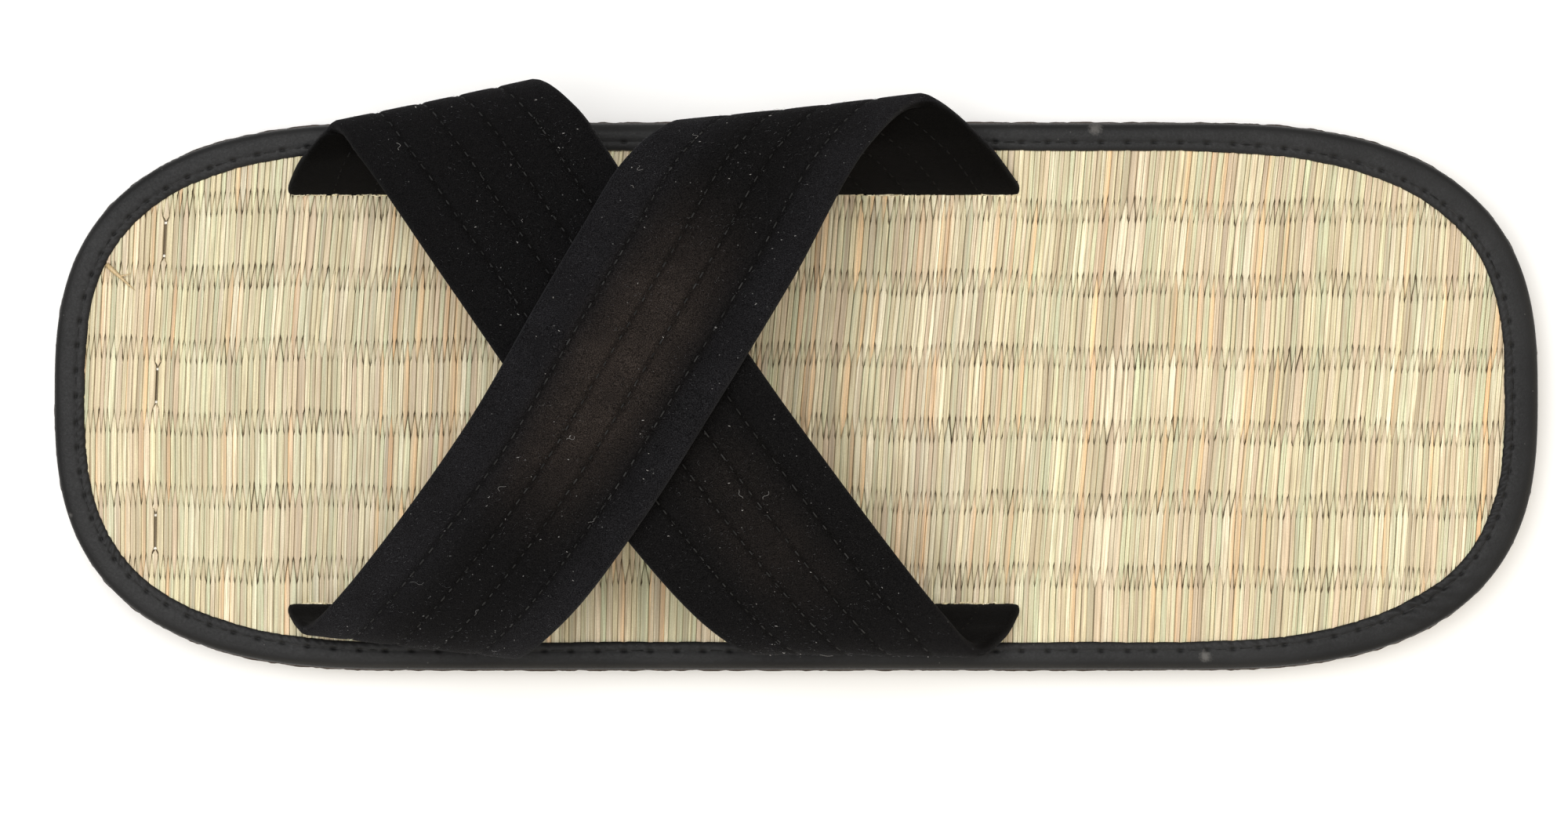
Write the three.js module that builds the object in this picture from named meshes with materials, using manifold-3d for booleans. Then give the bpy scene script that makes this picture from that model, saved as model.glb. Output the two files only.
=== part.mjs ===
// A zori sandal: a woven rush footbed with a bound edge, on a flat rubber outsole, held to the foot by two
// velvet straps that cross over the instep. Millimetres, +Z up, +X to the toe and +Y to the wearer's left.
// The origin is on the ground, under the middle of the outsole.
import * as THREE from "three";
import { mergeVertices } from "three/addons/utils/BufferGeometryUtils.js";
import Module from "manifold-3d";

// Plan outline of the outsole: straight sides between two equal superellipse ends
const LENGTH = 280;
const WIDTH = 103.6;
const END_LENGTH = 67.5;
const END_POWER = 2.75;
const OUTLINE_STEPS = 112;
const OUTLINE_MEASURING_STEPS = 4000;

// Layers, from the ground up, with the gap left between pieces that lie on each other
const FIT = 0.3;
const OUTSOLE_THICKNESS = 10;
const OUTSOLE_EDGE = 0.7;
const MAT_THICKNESS = 4;
const MAT_BOTTOM = OUTSOLE_THICKNESS + FIT;
const MAT_TOP = MAT_BOTTOM + MAT_THICKNESS;

// Tape folded round the rim of the mat, which is pressed thin under it
const TAPE_SETBACK = 0.7;
const TAPE_THICKNESS = 0.9;
const TAPE_REACH = 4.9;
const TAPE_PROUD = 0.5;
const TAPE_ROUNDING = 1.5;
const TAPE_ARC_STEPS = 3;
const TAPE_TOP = MAT_TOP + TAPE_PROUD;

// Straps: the band, the slits that it passes through and the tab held flat under the mat
const STRAP_WIDTH = 37.5;
const STRAP_THICKNESS = 2.4;
const STRAP_STEPS = 80;
const STRAP_EDGE_STEPS = 3;
const STRAP_FLAT_STEPS = 3;
const SLIT_LENGTH = STRAP_WIDTH + 1;
const SLIT_WIDTH = STRAP_THICKNESS + 1.2;
const SLIT_TOE_X = 76.8;
const SLIT_HEEL_X = -23.2;
const SLIT_RIGHT_Y = -39.2;
const SLIT_LEFT_Y = 40.3;
const TAB_LENGTH = 15;
const TAB_BEND = 2.5;
const TAB_BEND_STEPS = 3;
const TAB_DEPTH = MAT_THICKNESS + FIT + STRAP_THICKNESS / 2;

// Sections of each strap from the right side over the foot to the left. Each row gives the two ends of one
// straight line across the strap, on its toe edge and its heel edge, with heights above the mat.
const UNDER_STRAP = [
  { at: "right rise", toeX: 92.4, toeY: -44.3, toeZ: 8, heelX: 54.2, heelY: -48.3, heelZ: 16 },
  { at: "right fold", toeX: 86.3, toeY: -49.8, toeZ: 13, heelX: 47.4, heelY: -57.3, heelZ: 25 },
  { at: "right shoulder", toeX: 80.7, toeY: -44, toeZ: 19, heelX: 40.4, heelY: -53, heelZ: 32.5 },
  { at: "right slope", toeX: 65.9, toeY: -23.4, toeZ: 30, heelX: 31, heelY: -39.5, heelZ: 37 },
  { at: "crossing", toeX: 47, toeY: 3.6, toeZ: 38.6, heelX: 15.8, heelY: -17.9, heelZ: 39 },
  { at: "left slope", toeX: 31, toeY: 26.3, toeZ: 36, heelX: -0.6, heelY: 5.5, heelZ: 34.5 },
  { at: "left shoulder", toeX: 16.7, toeY: 42.1, toeZ: 30, heelX: -26.9, heelY: 40, heelZ: 20 },
  { at: "left fold", toeX: 9.5, toeY: 46.2, toeZ: 24, heelX: -34.4, heelY: 47.3, heelZ: 12 },
  { at: "left rise", toeX: 2.3, toeY: 44.9, toeZ: 13, heelX: -39.4, heelY: 44.3, heelZ: 6 },
];
const OVER_STRAP = [
  { at: "right rise", toeX: 5.9, toeY: -46, toeZ: 18, heelX: -34.8, heelY: -48, heelZ: 9 },
  { at: "right fold", toeX: 22.8, toeY: -49, toeZ: 33, heelX: -24.4, heelY: -55, heelZ: 16 },
  { at: "right shoulder", toeX: 31, toeY: -43.3, toeZ: 39.4, heelX: -13.6, heelY: -46.4, heelZ: 26 },
  { at: "right slope", toeX: 39.5, toeY: -29.9, toeZ: 40.4, heelX: 0.9, heelY: -20.8, heelZ: 38.8 },
  { at: "crossing", toeX: 47.3, toeY: -16.7, toeZ: 41, heelX: 15, heelY: 2.4, heelZ: 41.4 },
  { at: "left slope", toeX: 60, toeY: 5, toeZ: 38.3, heelX: 26.7, heelY: 20.8, heelZ: 40.2 },
  { at: "left shoulder", toeX: 83.3, toeY: 35.4, toeZ: 18, heelX: 40.5, heelY: 39.3, heelZ: 35 },
  { at: "left fold", toeX: 91.8, toeY: 43.2, toeZ: 8, heelX: 50, heelY: 47.2, heelZ: 24 },
  { at: "left rise", toeX: 94, toeY: 42.3, toeZ: 4, heelX: 54, heelY: 45.4, heelZ: 12 },
];

// Vertices closer than this are one, and a cut runs this far past the faces it goes through
const MERGE_DISTANCE = 1e-4;
const CUT_PAST = 1;

const wasm = await Module();
wasm.setup();

class SoleOutline extends THREE.Curve {
  constructor() {
    super();
    this.arcLengthDivisions = OUTLINE_MEASURING_STEPS;
  }

  getPoint(t, target = new THREE.Vector3()) {
    const angle = 2 * Math.PI * t;
    const along = Math.sign(Math.cos(angle)) * Math.abs(Math.cos(angle)) ** (2 / END_POWER);
    const side = Math.sign(Math.sin(angle)) * Math.abs(Math.sin(angle)) ** (2 / END_POWER);
    const straight = (LENGTH / 2 - END_LENGTH) * Math.sign(along);
    return target.set(straight + END_LENGTH * along, (WIDTH / 2) * side, 0);
  }
}

// Points spaced evenly round the sole, each with its inward direction
function outlineRing() {
  const points = new SoleOutline().getSpacedPoints(OUTLINE_STEPS).slice(0, OUTLINE_STEPS);
  return points.map((point, i) => {
    const before = points[(i + OUTLINE_STEPS - 1) % OUTLINE_STEPS];
    const after = points[(i + 1) % OUTLINE_STEPS];
    const forward = after.clone().sub(before).normalize();
    return { point, inward: new THREE.Vector3(-forward.y, forward.x, 0) };
  });
}

const RING = outlineRing();

function geometryOf(positions, indices) {
  const geometry = new THREE.BufferGeometry();
  geometry.setAttribute("position", new THREE.Float32BufferAttribute(positions, 3));
  geometry.setIndex(indices);
  geometry.computeVertexNormals();
  return geometry;
}

// Two triangles for each cell of a grid of rows by columns, its columns joined round
function gridCells(rows, columns, joinRows) {
  const indices = [];
  for (let i = 0; i < (joinRows ? rows : rows - 1); i++) {
    for (let j = 0; j < columns; j++) {
      const a = i * columns + j;
      const b = i * columns + ((j + 1) % columns);
      const c = ((i + 1) % rows) * columns + j;
      const d = ((i + 1) % rows) * columns + ((j + 1) % columns);
      indices.push(a, b, d, a, d, c);
    }
  }
  return indices;
}

// A fan that closes the row of a grid with a middle point
function fan(firstVertex, columns, middle, reversed) {
  const indices = [];
  for (let j = 0; j < columns; j++) {
    const a = firstVertex + j;
    const b = firstVertex + ((j + 1) % columns);
    indices.push(middle, reversed ? b : a, reversed ? a : b);
  }
  return indices;
}

function ringPositions(section) {
  return section.flatMap(({ inset, z }) =>
    RING.flatMap(({ point, inward }) => [point.x + inward.x * inset, point.y + inward.y * inset, z]),
  );
}

// A flat layer whose edge follows a section from the underside to the top
function layer(section) {
  const rows = section.length;
  const positions = ringPositions(section);
  positions.push(0, 0, section[0].z, 0, 0, section[rows - 1].z);
  const bottomMiddle = rows * OUTLINE_STEPS;
  const indices = [
    ...gridCells(rows, OUTLINE_STEPS, false),
    ...fan(0, OUTLINE_STEPS, bottomMiddle, true),
    ...fan((rows - 1) * OUTLINE_STEPS, OUTLINE_STEPS, bottomMiddle + 1, false),
  ];
  return geometryOf(positions, indices);
}

function solidOf(geometry) {
  const bare = geometry.clone();
  bare.deleteAttribute("normal");
  bare.deleteAttribute("uv");
  const merged = mergeVertices(bare, MERGE_DISTANCE);
  const vertProperties = new Float32Array(merged.attributes.position.array);
  const triVerts = new Uint32Array(merged.index.array);
  return new wasm.Manifold(new wasm.Mesh({ numProp: 3, vertProperties, triVerts }));
}

function geometryOfSolid(solid) {
  const { vertProperties, triVerts } = solid.getMesh();
  return geometryOf(Array.from(vertProperties), Array.from(triVerts));
}

function boxSolid(low, high) {
  const geometry = new THREE.BoxGeometry(high.x - low.x, high.y - low.y, high.z - low.z);
  geometry.translate((low.x + high.x) / 2, (low.y + high.y) / 2, (low.z + high.z) / 2);
  return solidOf(geometry);
}

// The four places where a strap goes down through the mat
const SLITS = {
  toeRight: { x: SLIT_TOE_X, y: SLIT_RIGHT_Y },
  heelRight: { x: SLIT_HEEL_X, y: SLIT_RIGHT_Y },
  toeLeft: { x: SLIT_TOE_X, y: SLIT_LEFT_Y },
  heelLeft: { x: SLIT_HEEL_X, y: SLIT_LEFT_Y },
};

// Pocket in the top of the outsole for the tab under one slit
function tabPocket({ x, y }) {
  const outer = y + Math.sign(y) * (SLIT_WIDTH / 2);
  const inner = y - Math.sign(y) * (TAB_LENGTH + 2 * FIT);
  const floor = MAT_TOP - TAB_DEPTH - STRAP_THICKNESS / 2 - FIT;
  const low = new THREE.Vector3(x - SLIT_LENGTH / 2, Math.min(outer, inner), floor);
  const high = new THREE.Vector3(x + SLIT_LENGTH / 2, Math.max(outer, inner), MAT_BOTTOM);
  return boxSolid(low, high);
}

function outsole() {
  const slab = layer([
    { inset: OUTSOLE_EDGE, z: 0 },
    { inset: 0, z: OUTSOLE_EDGE },
    { inset: 0, z: OUTSOLE_THICKNESS },
  ]);
  const cut = Object.values(SLITS).reduce((body, slit) => body.subtract(tabPocket(slit)), solidOf(slab));
  return geometryOfSolid(cut);
}

function slitCut({ x, y }) {
  const low = new THREE.Vector3(x - SLIT_LENGTH / 2, y - SLIT_WIDTH / 2, MAT_BOTTOM - CUT_PAST);
  const high = new THREE.Vector3(x + SLIT_LENGTH / 2, y + SLIT_WIDTH / 2, MAT_TOP + CUT_PAST);
  return boxSolid(low, high);
}

function insoleMat() {
  const rimEdge = TAPE_SETBACK + TAPE_THICKNESS + FIT;
  const rimStep = TAPE_SETBACK + TAPE_REACH + FIT;
  const rimBottom = MAT_BOTTOM + TAPE_THICKNESS + FIT;
  const rimTop = TAPE_TOP - TAPE_THICKNESS - FIT;
  const slab = layer([
    { inset: rimStep, z: MAT_BOTTOM },
    { inset: rimStep, z: rimBottom },
    { inset: rimEdge, z: rimBottom },
    { inset: rimEdge, z: rimTop },
    { inset: rimStep, z: rimTop },
    { inset: rimStep, z: MAT_TOP },
  ]);
  const cut = Object.values(SLITS).reduce((body, slit) => body.subtract(slitCut(slit)), solidOf(slab));
  return geometryOfSolid(cut);
}

// The tape is a C in section, open towards the middle of the sole, with a rounded back
function tapeSection() {
  const height = TAPE_TOP - MAT_BOTTOM;
  const section = new THREE.Shape();
  section.moveTo(TAPE_REACH, TAPE_THICKNESS);
  section.lineTo(TAPE_REACH, 0);
  section.lineTo(TAPE_ROUNDING, 0);
  section.absarc(TAPE_ROUNDING, TAPE_ROUNDING, TAPE_ROUNDING, 1.5 * Math.PI, Math.PI, true);
  section.absarc(TAPE_ROUNDING, height - TAPE_ROUNDING, TAPE_ROUNDING, Math.PI, Math.PI / 2, true);
  section.lineTo(TAPE_REACH, height);
  section.lineTo(TAPE_REACH, height - TAPE_THICKNESS);
  section.lineTo(TAPE_THICKNESS, height - TAPE_THICKNESS);
  section.lineTo(TAPE_THICKNESS, TAPE_THICKNESS);
  const points = section.getPoints(TAPE_ARC_STEPS);
  return points.map(({ x, y }) => ({ inset: TAPE_SETBACK + x, z: MAT_BOTTOM + y }));
}

function binding() {
  const section = tapeSection();
  return geometryOf(ringPositions(section), gridCells(section.length, OUTLINE_STEPS, true));
}

// Rows of a strap from the end of its tab, round the bend and up to the mouth of its slit
function anchorRows({ x, y }) {
  const inward = -Math.sign(y);
  const path = [{ y: y + inward * TAB_LENGTH, z: -TAB_DEPTH }];
  for (let i = 0; i <= TAB_BEND_STEPS; i++) {
    const angle = (i / TAB_BEND_STEPS) * (Math.PI / 2);
    const left = TAB_BEND * (1 - Math.sin(angle));
    path.push({ y: y + inward * left, z: -TAB_DEPTH + TAB_BEND * (1 - Math.cos(angle)) });
  }
  path.push({ y, z: 0 });
  return path.map((step) => ({
    toeX: x + STRAP_WIDTH / 2,
    toeY: step.y,
    toeZ: step.z,
    heelX: x - STRAP_WIDTH / 2,
    heelY: step.y,
    heelZ: step.z,
  }));
}

// Rounded band section: each point's share of the way across (1 toe edge, -1 heel edge), and how far round the
// edge and how far off the middle of the wall it lies, as shares of half the thickness
function bandSection() {
  const section = [];
  for (const side of [1, -1]) {
    for (let i = 0; i <= STRAP_EDGE_STEPS; i++) {
      const angle = Math.PI * (0.5 - i / STRAP_EDGE_STEPS);
      section.push({ side, round: Math.cos(angle), lift: side * Math.sin(angle) });
    }
    for (let i = 1; i < STRAP_FLAT_STEPS; i++) {
      section.push({ side: side * (1 - (2 * i) / STRAP_FLAT_STEPS), round: 0, lift: -side });
    }
  }
  return section;
}

function strap(rows) {
  const edge = (name) =>
    new THREE.CatmullRomCurve3(
      rows.map((row) => new THREE.Vector3(row[`${name}X`], row[`${name}Y`], MAT_TOP + row[`${name}Z`])),
    );
  const toeEdge = edge("toe");
  const heelEdge = edge("heel");
  const section = bandSection();
  const radius = STRAP_THICKNESS / 2;
  const positions = [];
  for (let i = 0; i <= STRAP_STEPS; i++) {
    const t = i / STRAP_STEPS;
    const toe = toeEdge.getPoint(t);
    const heel = heelEdge.getPoint(t);
    const middle = toe.clone().add(heel).multiplyScalar(0.5);
    const half = toe.distanceTo(heel) / 2 - radius;
    const across = toe.clone().sub(heel).normalize();
    const forward = toeEdge.getTangent(t).add(heelEdge.getTangent(t));
    const outward = across.clone().cross(forward).normalize();
    for (const { side, round, lift } of section) {
      const point = middle.clone();
      point.addScaledVector(across, side * half + Math.sign(side) * round * radius);
      point.addScaledVector(outward, lift * radius);
      positions.push(point.x, point.y, point.z);
    }
  }
  const ends = [0, 1].map((t) => toeEdge.getPoint(t).add(heelEdge.getPoint(t)).multiplyScalar(0.5));
  ends.forEach((end) => positions.push(end.x, end.y, end.z));
  const columns = section.length;
  const firstEnd = (STRAP_STEPS + 1) * columns;
  const indices = [
    ...gridCells(STRAP_STEPS + 1, columns, false),
    ...fan(0, columns, firstEnd, true),
    ...fan(STRAP_STEPS * columns, columns, firstEnd + 1, false),
  ];
  return geometryOf(positions, indices);
}

function upperStraps() {
  const under = strap([
    ...anchorRows(SLITS.toeRight),
    ...UNDER_STRAP,
    ...anchorRows(SLITS.heelLeft).reverse(),
  ]);
  const over = strap([
    ...anchorRows(SLITS.heelRight),
    ...OVER_STRAP,
    ...anchorRows(SLITS.toeLeft).reverse(),
  ]);
  return geometryOfSolid(solidOf(under).add(solidOf(over)));
}

function piece(name, geometry, color, roughness) {
  const material = new THREE.MeshStandardMaterial({ color, roughness, metalness: 0 });
  const mesh = new THREE.Mesh(geometry, material);
  mesh.name = name;
  return mesh;
}

const sandal = new THREE.Group();
sandal.add(piece("outsole", outsole(), 0x3b322d, 0.9));
sandal.add(piece("insole_mat", insoleMat(), 0xdccfae, 0.75));
sandal.add(piece("binding", binding(), 0x353536, 0.6));
sandal.add(piece("upper_straps", upperStraps(), 0x1f1c1b, 0.95));

export default sandal;
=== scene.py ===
# %% [markdown]
# # A zori sandal
# A zori is a flat sandal: a footbed of woven rush with a sewn tape edge, on a rubber outsole, with
# two velvet straps that cross over the foot. The solids of its four pieces are already in place, so
# this lesson only gives each of them the surface of the real thing: rush strands, stitches, nap and
# cut rubber.

# %% Load the sandal and keep its box
import math

import bpy
import numpy as np
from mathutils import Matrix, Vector, noise


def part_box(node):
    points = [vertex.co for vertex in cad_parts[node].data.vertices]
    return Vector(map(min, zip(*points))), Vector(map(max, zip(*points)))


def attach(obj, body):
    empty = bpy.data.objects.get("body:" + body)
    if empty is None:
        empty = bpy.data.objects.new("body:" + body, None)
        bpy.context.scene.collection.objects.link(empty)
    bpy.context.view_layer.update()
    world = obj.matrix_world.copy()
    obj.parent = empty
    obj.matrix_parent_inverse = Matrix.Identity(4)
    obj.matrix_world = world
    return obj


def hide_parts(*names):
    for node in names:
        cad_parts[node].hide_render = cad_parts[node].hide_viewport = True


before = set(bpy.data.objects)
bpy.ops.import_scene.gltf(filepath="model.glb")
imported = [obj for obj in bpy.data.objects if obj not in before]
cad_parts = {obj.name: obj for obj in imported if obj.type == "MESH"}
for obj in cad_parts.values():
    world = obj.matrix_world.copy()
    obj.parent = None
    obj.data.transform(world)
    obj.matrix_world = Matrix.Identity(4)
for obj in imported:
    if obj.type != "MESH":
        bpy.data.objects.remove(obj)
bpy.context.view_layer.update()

# %% [markdown]
# Every size below is in millimetres, because a shoemaker thinks in them, and becomes metres only when
# a mesh is made. The heights and the plan size come from the solids themselves, so that the dressed
# sandal fits them.

# %% Sizes taken from the solids
MM = 0.001


def solid_box(node):
    """Lowest and highest corner of one solid, in millimetres."""
    low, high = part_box(node)
    return np.array(low) / MM, np.array(high) / MM


outsole_low, outsole_high = solid_box("outsole")
_, mat_high = solid_box("insole_mat")
SOLE_LENGTH = outsole_high[0] - outsole_low[0]
SOLE_WIDTH = outsole_high[1] - outsole_low[1]
OUTSOLE_TOP = outsole_high[2]
MAT_TOP = mat_high[2]
print("sole", round(SOLE_LENGTH, 1), "x", round(SOLE_WIDTH, 1), "mm, mat top at", round(MAT_TOP, 2))

# %% [markdown]
# Most of the sandal's detail is thin and long: strands, threads, fibres. They are all tubes, so one
# helper makes the faces of any number of tubes at once, and each set becomes a single joined mesh. A
# second helper gives a finished mesh its material and ties it to the sandal.


# %% Mesh helpers
UP = np.array([0, 0, 1.0])


def mesh_piece(name, points, faces, material):
    """A smooth-shaded mesh object from points in millimetres."""
    mesh = bpy.data.meshes.new(name)
    mesh.from_pydata((np.reshape(points, (-1, 3)) * MM).tolist(), [], faces)
    mesh.shade_smooth()
    mesh.materials.append(material)
    made = bpy.data.objects.new(name, mesh)
    bpy.context.scene.collection.objects.link(made)
    print(name, len(mesh.vertices), "points,", len(mesh.polygons), "faces")
    return made


def dress(made, slot, *solids):
    """Ties a piece to the sandal and hides the solids that it stands for; slot is not used."""
    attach(made, "root")
    if solids:
        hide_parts(*solids)


def wall_faces(rings, sides, joined=False):
    """Quads between closed rings in turn; joined also closes the last ring to the first."""
    ring = np.arange(rings if joined else rings - 1)[:, None]
    after = (ring + 1) % rings
    side = np.arange(sides)[None]
    nearby = (side + 1) % sides
    cells = [ring * sides + side, ring * sides + nearby, after * sides + nearby, after * sides + side]
    return np.stack(cells, -1).reshape(-1, 4)


def tube_faces(count, rings, sides):
    """Faces of many closed tubes, with points ordered as tube, ring, side."""
    starts = np.arange(count)[:, None, None] * rings * sides
    walls = (wall_faces(rings, sides)[None] + starts).reshape(-1, 4)
    first = np.arange(sides)[::-1] + starts[:, 0]
    last = np.arange(sides) + (rings - 1) * sides + starts[:, 0]
    return walls.tolist() + first.tolist() + last.tolist()


def unit(vectors):
    """Vectors scaled to length one."""
    return vectors / np.maximum(np.linalg.norm(vectors, axis=-1, keepdims=True), 1e-9)


def round_tubes(paths, radius, outward, sides=6):
    """Points of tubes round paths (tube, ring, xyz); outward is any direction off the path."""
    forward = unit(np.gradient(paths, axis=1))
    sideways = unit(np.cross(forward, outward))
    upward = np.cross(sideways, forward)
    angle = np.linspace(0, 2 * np.pi, sides, endpoint=False)[:, None]
    radius = np.broadcast_to(radius, paths.shape[:2])[..., None, None]
    spokes = np.cos(angle) * upward[..., None, :] - np.sin(angle) * sideways[..., None, :]
    return paths[..., None, :] + radius * spokes


# %% [markdown]
# The sole's outline is straight along the middle, with two equal ends that are fuller than a half
# circle: a superellipse. Every layer follows it at some inset, so one function gives evenly spaced
# points round it.

# %% The sole's outline
END_LENGTH = 67.5
END_POWER = 2.75
OUTLINE_SAMPLES = 20001
REACH_SAMPLES = 4000


def sole_outline(count, inset=0.0):
    """Evenly spaced points round the sole, moved in by inset, and the inward direction at each."""
    angle = np.linspace(0, 2 * np.pi, OUTLINE_SAMPLES)
    along = np.sign(np.cos(angle)) * np.abs(np.cos(angle)) ** (2 / END_POWER)
    side = np.sign(np.sin(angle)) * np.abs(np.sin(angle)) ** (2 / END_POWER)
    x = (SOLE_LENGTH / 2 - END_LENGTH) * np.sign(along) + END_LENGTH * along
    y = SOLE_WIDTH / 2 * side
    run = np.concatenate([[0], np.cumsum(np.hypot(np.diff(x), np.diff(y)))])
    stops = (np.arange(count) + 0.5) / count * run[-1]
    points = np.stack([np.interp(stops, run, x), np.interp(stops, run, y)], 1)
    forward = unit(np.roll(points, -1, 0) - np.roll(points, 1, 0))
    inward = np.stack([-forward[:, 1], forward[:, 0]], 1)
    return points + inset * inward, inward, run[-1]


def side_reach(x, inset):
    """How far the outline, moved in by inset, reaches to either side at x."""
    points, _, _ = sole_outline(REACH_SAMPLES, inset)
    left = points[points[:, 1] > 0]
    left = left[np.argsort(left[:, 0])]
    return np.interp(x, left[:, 0], left[:, 1], left=0, right=0)


print("outline is", round(sole_outline(100)[2]), "mm round")


# %% [markdown]
# A smooth curve through a few given points shapes the straps and the tape's section.
# Centripetal Catmull-Rom passes through every point and doesn't loop, so the table of points can stay
# short.


# %% Smooth curves through a few points
def through(points, shares):
    """Points on a smooth curve through the given ones, at shares from 0 to 1 of its stretches."""
    given = np.asarray(points, float)
    padded = np.vstack([2 * given[0] - given[1], given, 2 * given[-1] - given[-2]])
    step = np.sqrt(np.linalg.norm(np.diff(padded, axis=0), axis=1))
    place = np.clip(np.asarray(shares) * (len(given) - 1), 0, len(given) - 1 - 1e-9)
    at = place.astype(int)
    part = (place - at)[:, None]
    a, b, c, d = (padded[at + i] for i in range(4))
    before, here, after = (step[at + i][:, None] for i in range(3))
    leave = ((b - a) / before - (c - a) / (before + here) + (c - b) / here) * here
    arrive = ((c - b) / here - (d - b) / (here + after) + (d - c) / after) * here
    bend = 3 * (c - b) - 2 * leave - arrive
    return b + leave * part + bend * part**2 + (2 * (b - c) + leave + arrive) * part**3


def smooth_step(low, high, value):
    """0 below low, 1 above high, and an even S between."""
    share = np.clip((value - low) / (high - low), 0, 1)
    return share * share * (3 - 2 * share)


# %% [markdown]
# Materials are node trees. A short helper adds a node and fills its inputs, linking those given as
# sockets and setting the rest, so a material reads as a list of steps. Effects that several finishes
# share, such as streaks along a fibre, grain, scuffs and specks, are node groups that are built once.


# %% Node helpers
def add_node(tree, kind, inputs=None, **settings):
    """Adds a node; inputs that are sockets are linked, others set."""
    made = tree.nodes.new(kind)
    for name, value in settings.items():
        setattr(made, name, value)
    for name, value in (inputs or {}).items():
        if isinstance(value, bpy.types.NodeSocket):
            tree.links.new(value, made.inputs[name])
        else:
            made.inputs[name].default_value = value
    return made


def math_node(tree, operation, first, second=0.0):
    """The result of a two-input math node."""
    return add_node(tree, "ShaderNodeMath", {0: first, 1: second}, operation=operation).outputs[0]


def ramp(tree, value, low, high, to_low=0.0, to_high=1.0):
    """A value spread from one range to another, clamped."""
    inputs = {"Value": value, "From Min": low, "From Max": high, "To Min": to_low, "To Max": to_high}
    return add_node(tree, "ShaderNodeMapRange", inputs).outputs["Result"]


def blend_colours(tree, share, first, second, how="MIX"):
    """One colour over another by a share."""
    inputs = {0: share, 6: first, 7: second}
    return add_node(tree, "ShaderNodeMix", inputs, data_type="RGBA", blend_type=how).outputs[2]


def new_group(name, inputs, outputs):
    """An empty shader group with vector and number inputs and number outputs."""
    group = bpy.data.node_groups.new(name, "ShaderNodeTree")
    for label, kind in inputs.items():
        group.interface.new_socket(label, in_out="INPUT", socket_type=f"NodeSocket{kind}")
    for label in outputs:
        group.interface.new_socket(label, in_out="OUTPUT", socket_type="NodeSocketFloat")
    return group, group.nodes.new("NodeGroupInput").outputs, group.nodes.new("NodeGroupOutput").inputs


# %% Shared effect: streaks along a fibre
def streaks_group():
    """Long thin streaks along Y, as plant fibres show them: soft bands and sharp dark lines."""
    sockets = {"Vector": "Vector", "Across": "Float", "Along": "Float"}
    group, given, result = new_group("Fibre streaks", sockets, ("Band", "Line"))
    axes = add_node(group, "ShaderNodeSeparateXYZ", {0: given["Vector"]}).outputs
    across = math_node(group, "MULTIPLY", axes["X"], given["Across"])
    along = math_node(group, "MULTIPLY", axes["Y"], given["Along"])
    place = add_node(group, "ShaderNodeCombineXYZ", {"X": across, "Y": along, "Z": axes["Z"]}).outputs[0]
    band = add_node(group, "ShaderNodeTexNoise", {"Vector": place, "Scale": 1.0, "Detail": 3.0}).outputs[0]
    fine = add_node(group, "ShaderNodeTexNoise", {"Vector": place, "Scale": 1.7, "Detail": 1.0}).outputs[0]
    group.links.new(ramp(group, band, 0.3, 0.7), result["Band"])
    group.links.new(ramp(group, fine, 0.4, 0.49, 1.0, 0.0), result["Line"])
    return group


# %% Shared effects: grain, scuffs and specks
def grain_group():
    """Fine grain and broad patches of cloth, pile or rubber."""
    group, given, result = new_group("Grain", {"Vector": "Vector", "Scale": "Float"}, ("Fine", "Patch"))
    broad = math_node(group, "MULTIPLY", given["Scale"], 0.02)
    fine_noise = {"Vector": given["Vector"], "Scale": given["Scale"], "Detail": 4.0, "Roughness": 0.65}
    patch_noise = {"Vector": given["Vector"], "Scale": broad, "Detail": 3.0}
    fine = add_node(group, "ShaderNodeTexNoise", fine_noise).outputs[0]
    patch = add_node(group, "ShaderNodeTexNoise", patch_noise).outputs[0]
    group.links.new(fine, result["Fine"])
    group.links.new(ramp(group, patch, 0.32, 0.68), result["Patch"])
    return group


def scuff_group():
    """A ragged pale rub mark round one place."""
    sockets = {"Vector": "Vector", "Place": "Vector", "Size": "Float"}
    group, given, result = new_group("Scuff", sockets, ("Mask",))
    ends = {0: given["Vector"], 1: given["Place"]}
    apart = add_node(group, "ShaderNodeVectorMath", ends, operation="DISTANCE")
    share = math_node(group, "DIVIDE", apart.outputs["Value"], given["Size"])
    ragged = {"Vector": given["Vector"], "Scale": 1900.0, "Detail": 5.0, "Roughness": 0.7}
    rough = add_node(group, "ShaderNodeTexNoise", ragged).outputs[0]
    near = ramp(group, share, 0.1, 1.0, 1.0, 0.0)
    torn = ramp(group, math_node(group, "ADD", near, rough), 0.95, 1.4)
    group.links.new(torn, result["Mask"])
    return group


def specks_group():
    """Scattered dots of dust or lint: only some of the cells hold one."""
    sockets = {"Vector": "Vector", "Scale": "Float", "Share": "Float"}
    group, given, result = new_group("Specks", sockets, ("Mask",))
    spacing = {"Vector": given["Vector"], "Scale": given["Scale"]}
    cells = add_node(group, "ShaderNodeTexVoronoi", spacing).outputs
    dot = ramp(group, cells["Distance"], 0.12, 0.2, 1.0, 0.0)
    draw = add_node(group, "ShaderNodeSeparateColor", {0: cells["Color"]}).outputs[0]
    chosen = math_node(group, "LESS_THAN", draw, given["Share"])
    group.links.new(math_node(group, "MULTIPLY", dot, chosen), result["Mask"])
    return group


STREAKS = streaks_group()
GRAIN = grain_group()
SCUFF = scuff_group()
SPECKS = specks_group()
print("node groups:", [group.name for group in bpy.data.node_groups])


# %% [markdown]
# Each material starts from the same three things: a Principled shader, its output, and the place on
# the sandal, which is the object coordinate because no piece is moved. Numbers that are the same all
# over, such as sheen or specular level, are set on the shader directly.


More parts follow.
